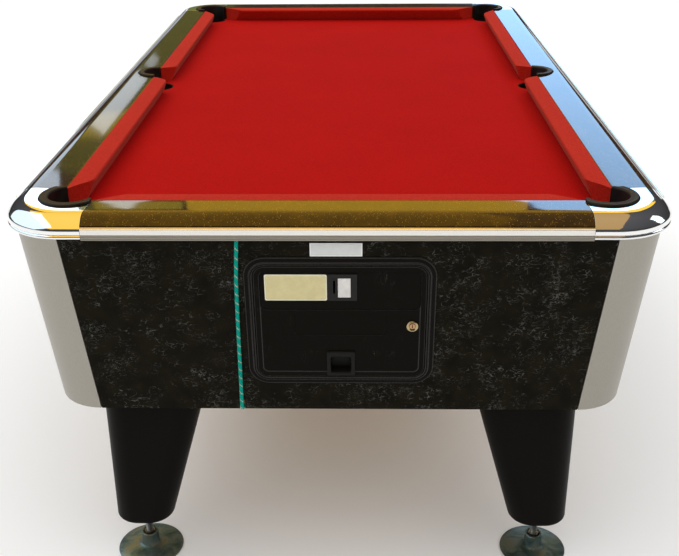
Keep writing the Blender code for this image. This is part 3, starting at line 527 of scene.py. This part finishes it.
def add_cushions():
    """Six cushions: cloth drawn over an undercut rubber, with a round nose and splayed ends."""
    nose = arc((0.0040, NOSE_Z - 0.0026), 0.0040, 98, 214, 10)
    back = RAIL_IN - GAP
    low = BED_Z + GAP
    section = [(back, low), (0.0150, low), (0.0098, low + 0.0085), *reversed(nose),
               (0.0130, NOSE_Z + 0.0021), (0.0250, NOSE_Z + 0.0028), (back, NOSE_Z + 0.0027)]
    # Where each kind of jaw meets the nose line and the rail, and the radius it is rounded by
    short, long, middle = (0.375, 0.432, 0.050), (0.840, 0.896, 0.055), (0.072, 0.047, 0.034)
    runs = [("front", "y-", short, -1, short, 1), ("back", "y+", short, -1, short, 1)]
    for side, place in (("left", "x-"), ("right", "x+")):
        runs.append((f"{side}_front", place, long, -1, middle, -1))
        runs.append((f"{side}_back", place, middle, 1, long, 1))
    for name, side, start, start_sign, end, end_sign in runs:
        span = [start_sign * max(start[:2]) - 0.02, end_sign * max(end[:2]) + 0.02]
        if start is middle:
            span[0] = 0.03
        if end is middle:
            span[1] = -0.03
        rings = swept(side, section, *span, max(2, round((span[1] - span[0]) / 0.05)))
        cushion = lofted(f"cushion_{name}_cloth", rings)
        inset = 0.0004
        corners = [(start_sign * start[0] + inset, -0.001, start[2]),
                   (end_sign * end[0] - inset, -0.001, end[2]),
                   (end_sign * end[1] - inset, RAIL_IN + 0.001, 0),
                   (start_sign * start[1] + inset, RAIL_IN + 0.001, 0)]
        plan = [[placed(side, along, d, z) for along, d in filleted(corners, 12)] for z in (0.77, 0.84)]
        settle(cut(cushion, lofted(f"plan_{name}", plan), operation="INTERSECT"), 0.0016, 38, 3)
        stand_for(cushion, f"cushion_{name}")


def add_pocket_liners():
    """Rubber liners: a drop tube, and a flanged wall with a soft rolled rim, open towards the bed."""
    top = NOSE_Z + 0.008
    for name, pocket, sx, sy, centre in POCKETS:
        r_in, r_out = pocket["r_in"], pocket["r_out"]
        tube, wall = r_in + 0.0025, r_in + 0.008
        profile = [(r_in, 0.748), (tube, 0.748), (tube, BED_Z + GAP), (wall, BED_Z + GAP),
                   (wall, top - 0.0118), (r_out, top - 0.0118),
                   *arc((r_out - 0.0032, top - 0.0032), 0.0032, 0, 90, 5),
                   ((r_in + r_out) / 2 + 0.001, top - 0.0008),
                   *arc((r_in + 0.0042, top - 0.0042), 0.0042, 90, 180, 6)]
        liner = turned(f"liner_{name}", profile, centre, 72)
        if sy:
            mouth = [(0.38, 0.84), (0.56, 0.84), (0.56, JOINT_Y + GAP), (0.494, JOINT_Y + GAP),
                     (JOINT_X + GAP, 0.956), (JOINT_X + GAP, 1.02), (0.38, 1.02)]
        else:
            edge = NOSE_X + RAIL_IN + GAP
            mouth = [(0.40, -0.08), (edge, -0.08), (edge, 0.08), (0.40, 0.08)]
        rings = [[(sx * x, (sy or 1) * y, z) for x, y in mouth] for z in (BED_Z - 0.0012, 0.86)]
        stand_for(settle(cut(liner, lofted(f"mouth_{name}", rings)), 0.0005, 35, 2), f"pocket_liner_{name}")


# ---- rails, castings, trims

def rail_top(d):
    """Height of the rail's top, d out from the nose line: nearly flat, then rolling off."""
    if d <= RAIL_CREST:
        return NOSE_Z + 0.003 + 0.002 * (d - RAIL_IN) / (RAIL_CREST - RAIL_IN)
    return NOSE_Z + 0.005 - 0.0170 * ((d - RAIL_CREST) / (RAIL_OUT - RAIL_CREST)) ** 3


def rail_crown(steps=18):
    """(d, z) points over the rail from its inner edge to the end of the roll-off."""
    flat = [RAIL_IN + (RAIL_CREST - RAIL_IN) * i / 4 for i in range(4)]
    roll = [RAIL_CREST + (RAIL_OUT - RAIL_CREST) * i / steps for i in range(steps + 1)]
    soft = 0.0008
    crown = [(d, rail_top(d)) for d in flat + roll]
    return [(RAIL_IN, crown[0][1] - soft), (RAIL_IN + soft, crown[0][1])] + crown[1:]


def add_rails():
    section = rail_crown() + [(RAIL_OUT, RAIL_LOW), (RAIL_IN, RAIL_LOW)]
    for name, side in SIDES.items():
        reach = reach_of(side)
        rail = lofted(f"rail_{name}_gloss", swept(side, section, -reach, reach, max(4, round(reach / 0.06))))
        if side[0] == "x":
            x = copysign(MIDDLE["x"], -1 if side[1] == "-" else 1)
            cut(rail, rod(f"notch_{name}", (x, 0, 0.75), (x, 0, 0.87), MIDDLE["r_out"] + 0.0008, 72))
        if name == "front":
            cut(rail, rod("rope_hole", (*ROPE_TOP, 0.77), (*ROPE_TOP, RAIL_LOW + 0.014), 0.0045, 24))
        stand_for(settle(rail, 0.0006, 40, 2), f"rail_{name}")


def add_castings():
    """Chrome corners: the rail's section carried round, then a groove and a rolled lip."""
    edge = [(RIM - 0.0016, NOSE_Z - 0.0150), (RIM - 0.0006, NOSE_Z - 0.0180), (RIM - 0.0002, NOSE_Z - 0.0215),
            (RIM - 0.0008, NOSE_Z - 0.0250), (RIM - 0.0024, NOSE_Z - 0.0263)]
    bead = arc((RIM - 0.0038, NOSE_Z - 0.0303), 0.0038, 62, -80, 8)
    section = rail_crown(22) + edge + bead + [(RIM - 0.0060, RAIL_LOW), (RAIL_IN, RAIL_LOW)]
    radius, steps = 0.117, 40
    arc_x, arc_y = RIM_X - radius, RIM_Y - radius
    for name, (sx, sy) in QUARTERS.items():
        def ring(x, y, out_x, out_y):
            return [(sx * (x + (d - RIM) * out_x), sy * (y + (d - RIM) * out_y), z) for d, z in section]
        rings = [ring(RIM_X, JOINT_Y + 2 * GAP + (arc_y - JOINT_Y) * i / 3, 1, 0) for i in range(3)]
        for i in range(steps + 1):
            c, s = cos(pi / 2 * i / steps), sin(pi / 2 * i / steps)
            rings.append(ring(arc_x + radius * c, arc_y + radius * s, c, s))
        rings += [ring(arc_x + (JOINT_X + 2 * GAP - arc_x) * i / 3, RIM_Y, 0, 1) for i in range(1, 4)]
        centre = (sx * CORNER["x"], sy * CORNER["y"])
        well = rod(f"well_{name}", (*centre, 0.75), (*centre, 0.87), CORNER["r_out"] + 0.0006, 96)
        casting = settle(cut(lofted(f"casting_{name}", rings), well), 0.0009, 40, 3)
        stand_for(casting, f"corner_casting_{name}")


def add_trims():
    """Aluminium edge trims: a rolled top lip, more polished and painted lighter and warmer as a highlight, a
    plain band, and three flutes below it painted darker as shade.
    """
    top, bottom = NOSE_Z - 0.0115, NOSE_Z - 0.0355
    inner = RAIL_OUT + GAP
    face = [(inner, top), *arc((RIM - 0.0018, top - 0.0018), 0.0018, 90, 0, 6),
            (RIM - 0.0001, top - 0.0030), (RIM - 0.0007, top - 0.0036), (RIM - 0.0003, top - 0.0042),
            (RIM, top - 0.0125)]
    for i in range(3):
        z = bottom + 0.0098 - 0.0032 * i
        face += [(RIM, z + 0.0009), (RIM - 0.0009, z + 0.0004), (RIM - 0.0009, z - 0.0004), (RIM, z - 0.0009)]
    section = face + [(RIM, bottom + 0.0010), (RIM - 0.0010, bottom), (inner, bottom)]
    for name, side in SIDES.items():
        reach = reach_of(side)
        trim = lofted(f"edge_trim_{name}", swept(side, section, -reach, reach, 2), FINISHES["trim_aluminium"])
        settle(trim, 0.0, 30)
        trim.data.materials.append(LIP_POLISH_AND_HIGHLIGHT)
        trim.data.materials.append(FLUTE_SHADE)
        # Faces on the lip take its painted highlight, faces on the flutes the painted shade
        for flat in trim.data.polygons:
            z = flat.center.z
            flat.material_index = 1 if z > top - 0.0032 else 2 if z < bottom + 0.0110 else 0
        stand_for(trim, f"trim_{name}")


# ---- cabinet

def lean(z):
    return (CAB_TOP - z) * tan(CAB_LEAN)


def on_face(box, y):
    """The outline of an (x, s, radius, segments) box as points at depth y behind a panel's face."""
    return [(x, y, -s) for x, s in round_box(*box)]


def face_prism(name, box, y0, y1, material=None):
    return lofted(name, [on_face(box, y) for y in (y0, y1)], material, matrix=FACE)


def paint_edge_highlight(piece, limit=0.94):
    """Paint a highlight on every face that turns away from the panel's plane: a lighter, glossier black."""
    out = FACE.to_3x3() @ Vector((0, -1, 0))
    piece.data.materials.append(EDGE_HIGHLIGHT)
    for face in piece.data.polygons:
        if abs(face.normal.dot(out)) < limit:
            face.material_index = 1


def door_box(grow, segments=10):
    return ((DOOR_X[0] - grow, DOOR_X[1] + grow), (DOOR_S[0] - grow, DOOR_S[1] + grow), DOOR_RADIUS + grow,
            segments)


def add_panels():
    """Four leaning panels: laminate outside and on the edges, bare board inside."""
    board, ledge = 0.018, 0.018
    ledge_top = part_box("slate_bed")[0].z - GAP
    ledge_low = ledge_top - 0.030
    section = [(0, CAB_TOP), (0, CAB_BOTTOM), (board, CAB_BOTTOM), (board, ledge_low),
               (board + ledge, ledge_low), (board + ledge, ledge_top), (board, ledge_top), (board, CAB_TOP)]
    for name, side in SIDES.items():
        sign = 1 if side[1] == "+" else -1
        across, along, nose = CAB_HALF_Y, CAB_HALF_X, NOSE_Y
        if side[0] == "x":
            across, along, nose = CAB_HALF_X, CAB_HALF_Y, NOSE_X
        rings = [[placed(side, end * (along - lean(z) - POST_RADIUS - 0.001), across - lean(z) - t - nose, z)
                  for t, z in section] for end in (-1, 1)]
        panel = lofted(f"panel_{name}_board", rings, FINISHES["cabinet_laminate"])
        if name == "front":
            cut(panel, face_prism("door_hole", door_box(0.005), -0.02, 0.05))
            cut(panel, box_solid("rope_notch", (ROPE_END_X - 0.005, -1.03, 0.40),
                                 (ROPE_END_X + 0.005, -0.95, CAB_BOTTOM + 0.020)))
        if name == "back":
            low, high = OUTLET
            cut(panel, box_solid("outlet_hole", (low[0], 0.95, low[1]), (high[0], 1.05, high[1])))
        settle(panel, 0.0005, 40, 2)
        panel.data.materials.append(FINISHES["bare_timber"])
        outward = Vector((sign, 0, 0)) if side[0] == "x" else Vector((0, sign, 0))
        for face in panel.data.polygons:
            depth = across - lean(face.center.z) - abs(face.center.dot(outward))
            inside = face.normal.dot(outward) < -0.4 or (depth > 0.004 and abs(face.normal.z) > 0.5
                                                         and face.center.z > CAB_BOTTOM + 0.01)
            face.material_index = 1 if inside else 0
        stand_for(panel, f"panel_{name}")


def box_solid(name, low, high, matrix=None):
    (x0, y0, z0), (x1, y1, z1) = low, high
    rings = [[(x0, y0, z), (x1, y0, z), (x1, y1, z), (x0, y1, z)] for z in (z0, z1)]
    return lofted(name, rings, matrix=matrix)


def add_posts():
    """Rounded corner posts in satin aluminium, with turned edges."""
    wall = 0.005
    for name, (sx, sy) in QUARTERS.items():
        rings = []
        for i in range(9):
            z = CAB_BOTTOM + (CAB_TOP - CAB_BOTTOM) * i / 8
            centre = (CAB_HALF_X - lean(z) - POST_RADIUS, CAB_HALF_Y - lean(z) - POST_RADIUS)
            turns = [pi / 2 * k / 28 for k in range(29)]
            outline = [(POST_RADIUS, a) for a in turns] + [(POST_RADIUS - wall, a) for a in reversed(turns)]
            rings.append([(sx * (centre[0] + r * cos(a)), sy * (centre[1] + r * sin(a)), z)
                          for r, a in outline])
        stand_for(settle(lofted(f"post_{name}", rings), 0.0011, 40, 3), f"corner_post_{name}")


def add_outlet_frame():
    """A moulded surround for the ball outlet in the back panel."""
    (x0, z0), (x1, z1) = OUTLET
    back = Matrix.Translation((0.0, CAB_HALF_Y, CAB_TOP)) @ Matrix.Rotation(pi, 4, "Z") \
        @ Matrix.Rotation(CAB_LEAN, 4, "X")
    tall = 1 / cos(CAB_LEAN)
    s0, s1 = (CAB_TOP - z1) * tall, (CAB_TOP - z0) * tall
    profile = [(-0.0005, 0.016), (-0.0030, 0.016), (-0.0030, -0.0012), (-0.0022, -0.0024), (0.0060, -0.0030),
               (0.0125, -0.0024), (0.0135, -0.0012), (0.0135, -0.0003), (-0.0005, -0.0003)]
    rings = [on_face(((x0 - grow, x1 + grow), (s0 - grow, s1 + grow), 0.0035 + grow, 6), y)
             for grow, y in profile]
    stand_for(lofted("outlet_surround", rings, closed=True, matrix=back), body="root", slot="frame_black")


# ---- coin door

def add_door_frame():
    """Pressed door frame: a rounded bead round the opening, a flat flange, and its sleeve."""
    bead = [(0.0031 - 0.0031 * cos(a), -0.0040 - 0.0027 * sin(a))
            for a in (pi * i / 8 for i in range(9))]
    profile = [(0.0, 0.012), (0.0, -0.0030), *bead, (0.0072, -0.0036), (0.0135, -0.0033),
               (0.0150, -0.0026), (0.0155, -0.0014), (0.0155, -GAP), (0.0045, -GAP), (0.0045, 0.012)]
    made = lofted("door_frame_pressing", [on_face(door_box(grow, 14), y) for grow, y in profile],
                  FINISHES["frame_black"], closed=True, matrix=FACE)
    paint_edge_highlight(made)
    stand_for(made, "door_frame")


def add_door():
    """The pan door: rolled rim, two pressed fields, and holes for the acceptor, cup and lock."""
    edge, front, back = 0.0015, -0.0050, 0.0020
    profile = [(0.0, back), (0.0, front + 0.0016), (0.0004, front + 0.0006), (0.0014, front),
               (0.0082, front), (0.0094, front + 0.0004), (0.0104, front + 0.0012), (0.0112, front + 0.0015)]
    rings = [on_face(door_box(-edge - inset, 14), y) for inset, y in profile]
    door = lofted("coin_door_pan", rings, FINISHES["door_black"], matrix=FACE)
    field = ((-0.1365, 0.1480), (0.0640, 0.1440), 0.012, 10)
    rib = ((-0.0770, 0.0890), (0.1525, 0.1972), 0.006, 8)
    cut(door, face_prism("upper_field", field, -0.02, front + 0.0030),
        face_prism("rib_field", rib, -0.02, front + 0.0025),
        face_prism("acceptor_hole", (*ACCEPTOR, 0.0015, 4), -0.02, 0.02),
        face_prism("cup_hole", ((-0.0160, 0.0279), (0.2389, 0.2796), 0.002, 4), -0.02, 0.02),
        rod("lock_hole", (LOCK[0], -0.02, -LOCK[1]), (LOCK[0], 0.02, -LOCK[1]), 0.0099, matrix=FACE))
    settle(door, 0.0006, 35, 3)
    paint_edge_highlight(door)
    stand_for(door, "coin_door")
    for end, s0, s1 in (("top", 0.0600, 0.0505), ("bottom", 0.2815, 0.2910)):
        pin = rod(f"hinge_pin_{end}", (HINGE_X, -0.0015, -s0), (HINGE_X, -0.0015, -s1), 0.0015, 24, FACE)
        stand_for(pin, body="coin_door", slot="stud_steel")


def add_coin_furniture():
    """What the door carries: return cup and flap, acceptor and button, price card, blank label, lock."""
    outer = ((-0.0200, 0.0316), (0.2310, 0.2835))
    mouth = ((-0.0125, 0.0244), (0.2424, 0.2766))

    rings = []
    for share, y, radius in ((0.0, -0.0038, 0.0022), (0.0, -0.0056, 0.0022), (0.06, -0.0064, 0.0022),
                             (0.14, -0.0068, 0.0022), (0.80, -0.0066, 0.0036), (0.93, -0.0060, 0.0042),
                             (1.0, -0.0048, 0.0045), (1.0, 0.0215, 0.0040), (0.75, 0.0215, 0.0040),
                             (0.75, -0.0028, 0.0040), (0.04, -0.0028, 0.0022)):
        x, s = (tuple(a + (b - a) * share for a, b in zip(outer[axis], mouth[axis])) for axis in (0, 1))
        rings.append(on_face((x, s, radius, 8), y))
    cup = lofted("return_cup", rings, closed=True, matrix=FACE, sharp=40)
    stand_for(cup, body="coin_door", slot="flap_plastic")

    front = ((low + GAP, high - GAP) for low, high in ACCEPTOR)
    plate = face_prism("acceptor_front", (*front, 0.0015, 5), -0.0045, 0.003)
    cut(plate, face_prism("mechanism", ((-0.0134, 0.0325), (0.0735, 0.1720), 0.003, 4), 0.0023, 0.060),
        face_prism("slot_boss", ((-0.0098, 0.0000), (0.0792, 0.1118), 0.0012, 4), -0.0052, 0.0),
        operation="UNION")
    cut(plate, face_prism("slot_hole", ((-0.0065, -0.0029), (0.0825, 0.1086), 0.0008, 3), -0.02, 0.03),
        face_prism("button_well", ((0.0011, 0.0246), (0.0781, 0.1175), 0.0012, 4), -0.02, 0.0075))
    stand_for(settle(plate, 0.0004, 35, 2), "coin_acceptor")

    cap = [(0.0, 0.0035), (0.0, -0.0040), (0.0003, -0.0048), (0.0010, -0.0052), (0.0045, -0.0054),
           (0.0085, -0.0055)]
    rings = [on_face(((0.0016 + t, 0.0241 - t), (0.0786 + t, 0.1170 - t), max(0.0012 - t / 2, 0.0003), 4), y)
             for t, y in cap]
    stand_for(lofted("reject_button_cap", rings, matrix=FACE, sharp=40), "reject_button")

    for name, body, finish, box, y0, y1, bevel, steps in (
            ("price_card", "coin_door", PALE_CARD, ((-0.1271, -0.0172), (0.0714, 0.1239), 0.0030, 6),
             -0.0017, -0.0042, 0.0009, 3),
            ("card_face", "coin_door", CREAM_CARD, ((-0.1250, -0.0193), (0.0735, 0.1218), 0.0025, 6),
             -0.0035, -0.0044, 0.0002, 2),
            ("blank_label", "root", WHITE_LABEL, ((-0.0461, 0.0445), (0.0105, 0.0363), 0.0006, 3),
             -0.0002, -0.0014, 0.0003, 2),
            ("label_face", "root", LABEL_FIELD, ((-0.0438, 0.0422), (0.0128, 0.0340), 0.0004, 3),
             -0.0008, -0.0016, 0.0001, 2)):
        card = settle(face_prism(name, box, y0, y1, finish), bevel, 40, steps)
        stand_for(card, body=body, slot="button_white")


def add_lock():
    """Cam lock: a bright collar with a dished face, the turning core with its keyway, and the cam."""
    out = FACE @ Matrix.Translation((LOCK[0], 0.0, -LOCK[1])) @ Matrix.Rotation(pi / 2, 4, "X")
    collar = [(0.0058, -0.0150), (0.0092, -0.0150), (0.0092, 0.0040), (0.0104, 0.0040), (0.0108, 0.0046),
              (0.0108, 0.0058), (0.0103, 0.0066), (0.0094, 0.0070), (0.0082, 0.0068), (0.0068, 0.0058),
              (0.0060, 0.0055), (0.0058, 0.0050)]
    stand_for(turned("lock_collar", collar, (0, 0), 64, out), "door_lock")
    barrel = [(0.0002, -0.0140), (0.0056, -0.0140), (0.0056, 0.0052), (0.0052, 0.0060), (0.0044, 0.0063),
              (0.0002, 0.0063)]
    core = turned("lock_core", barrel, (0, 0), 48, out, COPPER)
    slit = box_solid("keyway", (-0.0008, -0.0034, 0.0), (0.0008, 0.0034, 0.0100), matrix=out)
    stand_for(settle(cut(core, slit), 0.0002, 40, 2), body="door_lock", slot="lock_chrome")
    reach = DOOR_X[1] + 0.0038 - LOCK[0]
    blade = ((LOCK[0] - 0.0070, LOCK[0] + 0.0070), (LOCK[1] - 0.0070, LOCK[1] + reach), 0.004, 8)
    cam = settle(face_prism("lock_cam", blade, 0.0125, 0.0148), 0.0003, 40, 2)
    stand_for(cam, body="door_lock", slot="stud_steel")


# ---- legs and feet

def add_legs():
    """Tapered legs of rounded-square section, with a full radius round the bottom."""
    low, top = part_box("leg_front_right")[0].z, CAB_BOTTOM - GAP
    high_x, high_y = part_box("leg_front_right")[1].x, -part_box("leg_front_right")[0].y
    top_half, foot_half = 0.104, 0.058
    top_x, top_y = high_x - top_half, high_y - top_half
    levels = [((0.0130 * (1 - cos(a))) / (top - low), -0.0140 * (1 - sin(a)))
              for a in (pi / 2 * i / 7 for i in range(8))]
    levels += [(0.2, 0.0), (0.5, 0.0), (0.8, 0.0), (1.0, 0.0)]
    for name, (sx, sy) in QUARTERS.items():
        rings = []
        for share, grow in levels:
            half = foot_half + (top_half - foot_half) * share + grow
            cx, cy = FOOT_X + (top_x - FOOT_X) * share, FOOT_Y + (top_y - FOOT_Y) * share
            outline = round_box((cx - half, cx + half), (cy - half, cy + half), 0.044 + 0.006 * share, 12)
            z = low + (top - low) * share
            rings.append([(sx * x, sy * y, z) for x, y in outline])
        centre = (sx * FOOT_X, sy * FOOT_Y)
        socket = rod(f"socket_{name}", (*centre, 0.05), (*centre, 0.185), 0.0086, 32)
        leg = settle(cut(lofted(f"leg_{name}_moulding", rings), socket), 0.0006, 40, 2)
        stand_for(leg, f"leg_{name}")


def add_feet():
    """Levelling feet: domed plate, hub with a rolled mouth, hexagon nut and a cut thread."""
    plate = [(0.0670, 0.0), (0.0683, 0.0006), (0.0690, 0.0020), (0.0684, 0.0034), (0.0668, 0.0044),
             (0.0560, 0.0064), (0.0450, 0.0085), (0.0340, 0.0092), (0.0260, 0.0097), (0.0225, 0.0106),
             (0.0200, 0.0125), (0.0188, 0.0160), (0.0182, 0.0220), (0.0176, 0.0360), (0.0180, 0.0375),
             (0.0180, 0.0398), (0.0170, 0.0410), (0.0140, 0.0410), (0.0132, 0.0402), (0.0132, 0.0120),
             (0.0004, 0.0120), (0.0004, 0.0)]
    for name, (sx, sy) in QUARTERS.items():
        centre = (sx * FOOT_X, sy * FOOT_Y)
        stand_for(turned(f"foot_{name}_plate", plate, centre, 96), f"foot_plate_{name}")
        stand_for(threaded(f"stud_{name}_thread", centre, 0.0123, 0.150, 0.0075), f"foot_stud_{name}")
        corners = [(centre[0] + 0.0122 * cos(a), centre[1] + 0.0122 * sin(a))
                   for a in circle(6)]
        nut = lofted(f"nut_{name}", [[(x, y, z) for x, y in corners] for z in (0.0290, 0.0420)])
        cut(nut, rod(f"nut_bore_{name}", (*centre, 0.02), (*centre, 0.05), 0.0076, 32))
        stand_for(settle(nut, 0.0006, 40, 2), body=f"stud_{name}", slot="stud_steel")


def threaded(name, centre, low, high, radius, pitch=0.002, around=20):
    """A stud whose surface follows a triangular helical thread, with plain chamfered ends."""
    rings = []
    count = round((high - low) / (pitch / 5))
    for k in range(count + 1):
        z = low + (high - low) * k / count
        end = min(1.0, (z - low) / 0.001, (high - z) / 0.001)
        ring = []
        for a in circle(around):
            phase = ((z / pitch) - a / (2 * pi)) % 1.0
            r = radius - 0.0011 * abs(2 * phase - 1) - 0.0012 * (1 - end)
            ring.append((centre[0] + r * cos(a), centre[1] + r * sin(a), z))
        rings.append(ring)
    return lofted(name, rings, sharp=60)


# ---- rope

def smooth_path(points, spacing):
    """Points along a Catmull-Rom curve through the given ones."""
    points = [Vector(p) for p in points]
    padded = [2 * points[0] - points[1], *points, 2 * points[-1] - points[-2]]
    path = []
    for a, b, c, d in zip(padded, padded[1:], padded[2:], padded[3:]):
        count = max(1, round((c - b).length / spacing))
        for i in range(count):
            t = i / count
            path.append(0.5 * (2 * b + (c - a) * t + (2 * a - 5 * b + 4 * c - d) * t ** 2
                               + (3 * b - a - 3 * c + d) * t ** 3))
    return path + [points[-1]]


def add_rope():
    """A taut braided rope from under the front rail, down the panel, under its edge and into the floor."""
    route = [(*ROPE_TOP, 0.7965), (*ROPE_TOP, 0.7865), (*ROPE_TOP, 0.7765), (-0.1755, -1.0310, 0.696),
             (-0.1782, -1.0203, 0.588), (-0.1797, -1.0116, 0.500), (-0.1808, -1.0064, 0.448)]
    bend = [(-1.0048, 0.4370), (-1.0017, 0.4269), (-0.9955, 0.4201), (-0.9870, 0.4174), (-0.9790, 0.4172),
            (-0.9715, 0.4193), (-0.9655, 0.4250), (-0.9625, 0.4330), (-0.9620, 0.4400)]
    path = smooth_path(route + [(ROPE_END_X, y, z) for y, z in bend], 0.0011)
    radius, around = 0.0035, 16
    bm = bmesh.new()
    rings, runs, run = [], [], 0.0
    for k, point in enumerate(path):
        ahead = (path[min(k + 1, len(path) - 1)] - path[max(k - 1, 0)]).normalized()
        side = ahead.cross(Vector((0, 1, 0)) if abs(ahead.y) < 0.9 else Vector((0, 0, 1))).normalized()
        if rings:
            side = (last_side - ahead * last_side.dot(ahead)).normalized()
        last_side = side
        up = ahead.cross(side)
        run += (point - path[k - 1]).length if k else 0.0
        runs.append(run)
        ring = []
        for a in circle(around):
            weave = sin(4 * a + run * 2 * pi / 0.010) * sin(4 * a - run * 2 * pi / 0.010)
            r = radius * (0.97 + 0.055 * weave)
            ring.append(bm.verts.new(point + side * (r * cos(a)) + up * (r * sin(a))))
        rings.append(ring)
    layer = bm.loops.layers.uv.new("along")
    for near, far, low, high in zip(rings, rings[1:], runs, runs[1:]):
        for i in range(around):
            j = (i + 1) % around
            face = bm.faces.new((near[i], near[j], far[j], far[i]))
            for loop, (turn, along) in zip(face.loops, ((i, low), (i + 1, low), (i + 1, high), (i, high))):
                loop[layer].uv = (turn / around, along)
    bm.faces.new(rings[0])
    bm.faces.new(rings[-1])
    rope = stand_for(piece_of("rope_braid", bm, sharp=80), "rope")


# ---- stage, lights, camera

def add_camera():
    """The photographer stands at the coin-door end, a little above head height, looking down the table."""
    camera = bpy.data.cameras.new("camera")
    camera.lens = 52.58
    camera.sensor_width = 36.0
    made = linked("camera", camera)
    right, up = Vector((0.9998, 0.0196, -0.0074)), Vector((-0.0016, 0.4246, 0.9054))
    back = right.cross(up).normalized()
    up = back.cross(right).normalized()
    made.matrix_world = Matrix.Translation((0.0408, -2.5886, NOSE_Z + 0.619)) @ Matrix(
        (right.normalized(), up, back)).transposed().to_4x4()
    bpy.context.scene.camera = made


def softbox(name, place, aim, size, radiance, colour=(1, 1, 1), in_gloss=False, roll=0.0):
    """A soft rectangular light: either lighting the object, or only mirrored in its gloss."""
    light = bpy.data.lights.new(name, "AREA")
    light.shape = "RECTANGLE"
    light.size, light.size_y = size
    light.energy = 4 * size[0] * size[1] * radiance
    light.color = colour
    made = linked(name, light)
    made.location = place
    turn = (Vector(aim) - Vector(place)).to_track_quat("-Z", "Y").to_matrix() @ Matrix.Rotation(roll, 3, "Z")
    made.rotation_euler = turn.to_euler()
    made.visible_diffuse = not in_gloss
    made.visible_glossy = in_gloss
    made.visible_camera = False


def add_stage():
    """A pale floor under a broad soft light, in a dim room with warm and pale softboxes for the gloss."""
    bm = bmesh.new()
    bmesh.ops.create_grid(bm, x_segments=1, y_segments=1, size=40.0)
    floor = piece_of("floor", bm, Finish("floor", (0.93, 0.93, 0.92), 0.9, Specular_IOR_Level=0.0).material)
    world = bpy.data.worlds.new("studio")
    bpy.context.scene.world = world
    world.use_nodes = True
    nodes, links = world.node_tree.nodes, world.node_tree.links
    split = nodes.new("ShaderNodeSeparateXYZ")
    links.new(nodes.new("ShaderNodeTexCoord").outputs["Generated"], split.inputs[0])
    ramp = nodes.new("ShaderNodeValToRGB")
    links.new(split.outputs["Z"], ramp.inputs["Fac"])
    ramp.color_ramp.elements[0].color = (0.035, 0.035, 0.035, 1)
    ramp.color_ramp.elements[1].color = (0.11, 0.11, 0.12, 1)
    links.new(ramp.outputs["Color"], nodes["Background"].inputs["Color"])
    olive, cloud = (0.75, 0.90, 0.08), (0.80, 0.88, 1.0)
    softbox("sky", (0.0, 0.0, 12.0), (0.0, 0.001, 0.0), (50.0, 50.0), 0.96)
    softbox("key", (-2.6, 1.6, 4.6), (0.0, 0.2, 0.6), (3.0, 3.0), 0.9, (1.0, 0.98, 0.95))
    for name, x, y, z, size, radiance, colour, roll in (
            ("warm_low", 0.0, 8.0, 3.85, (3.8, 1.3), 1.05, (1.0, 0.58, 0.02), 0.0),
            ("warm_left", -2.45, 8.0, 3.48, (1.0, 0.30), 0.5, (1.0, 0.66, 0.03), 0.0),
            ("olive_left", -1.9, 8.1, 2.5, (1.1, 2.6), 0.13, olive, -0.63),
            ("olive_near", -2.75, 8.1, 3.75, (0.8, 0.9), 0.16, olive, -0.3),
            ("pale_left", -2.55, 8.2, 3.2, (0.42, 0.85), 1.4, cloud, -0.63),
            ("pale_pocket", -2.11, 8.2, 2.77, (0.14, 0.16), 0.7, cloud, -0.63),
            ("pale_corner", -3.75, 8.1, 3.85, (1.2, 1.3), 2.0, (0.72, 0.86, 1.0), 0.0),
            ("streak_left", -3.6, 8.1, 1.55, (3.0, 0.75), 0.8, (0.78, 0.88, 1.0), 0.0),
            ("pale_right", 2.35, 8.1, 3.05, (1.15, 3.7), 2.7, (0.34, 0.62, 1.0), 0.63),
            ("streak_right", 4.0, 8.1, 1.6, (3.2, 0.8), 0.9, (0.95, 0.97, 1.0), 0.0)):
        softbox(name, (x, y, z), (x, 0.0, z), size, radiance, colour, True, roll)
    softbox("warm_far", (0.0, 8.0, 6.0), (0.0, 0.0, 5.0), (9.0, 3.0), 1.0, (1.0, 0.56, 0.02), True)
    softbox("warm_above", (-2.0, -1.0, 6.5), (-2.0, -1.001, 0.8), (6.4, 14.0), 0.95, (1.0, 0.54, 0.02), True)
    softbox("warm_right", (2.1, -1.0, 6.5), (2.1, -1.001, 0.8), (1.8, 14.0), 0.35, (1.0, 0.56, 0.10), True)
    softbox("window_left", (-6.0, -1.0, 4.6), (-0.5, -0.9, 0.8), (10.0, 6.5), 1.1, (0.66, 0.82, 1.0), True)
    softbox("window_right", (6.5, 0.5, 3.6), (0.5, -0.9, 0.8), (1.6, 3.4), 1.6, (0.80, 0.90, 1.0), True)
    bpy.context.scene.view_settings.view_transform = "Standard"


for add in (add_camera, add_rope, add_bed_cloth, add_cushions, add_pocket_liners, add_rails, add_castings,
            add_trims, add_panels, add_posts, add_outlet_frame, add_door_frame, add_door, add_coin_furniture,
            add_lock, add_legs, add_feet, add_stage):
    add()
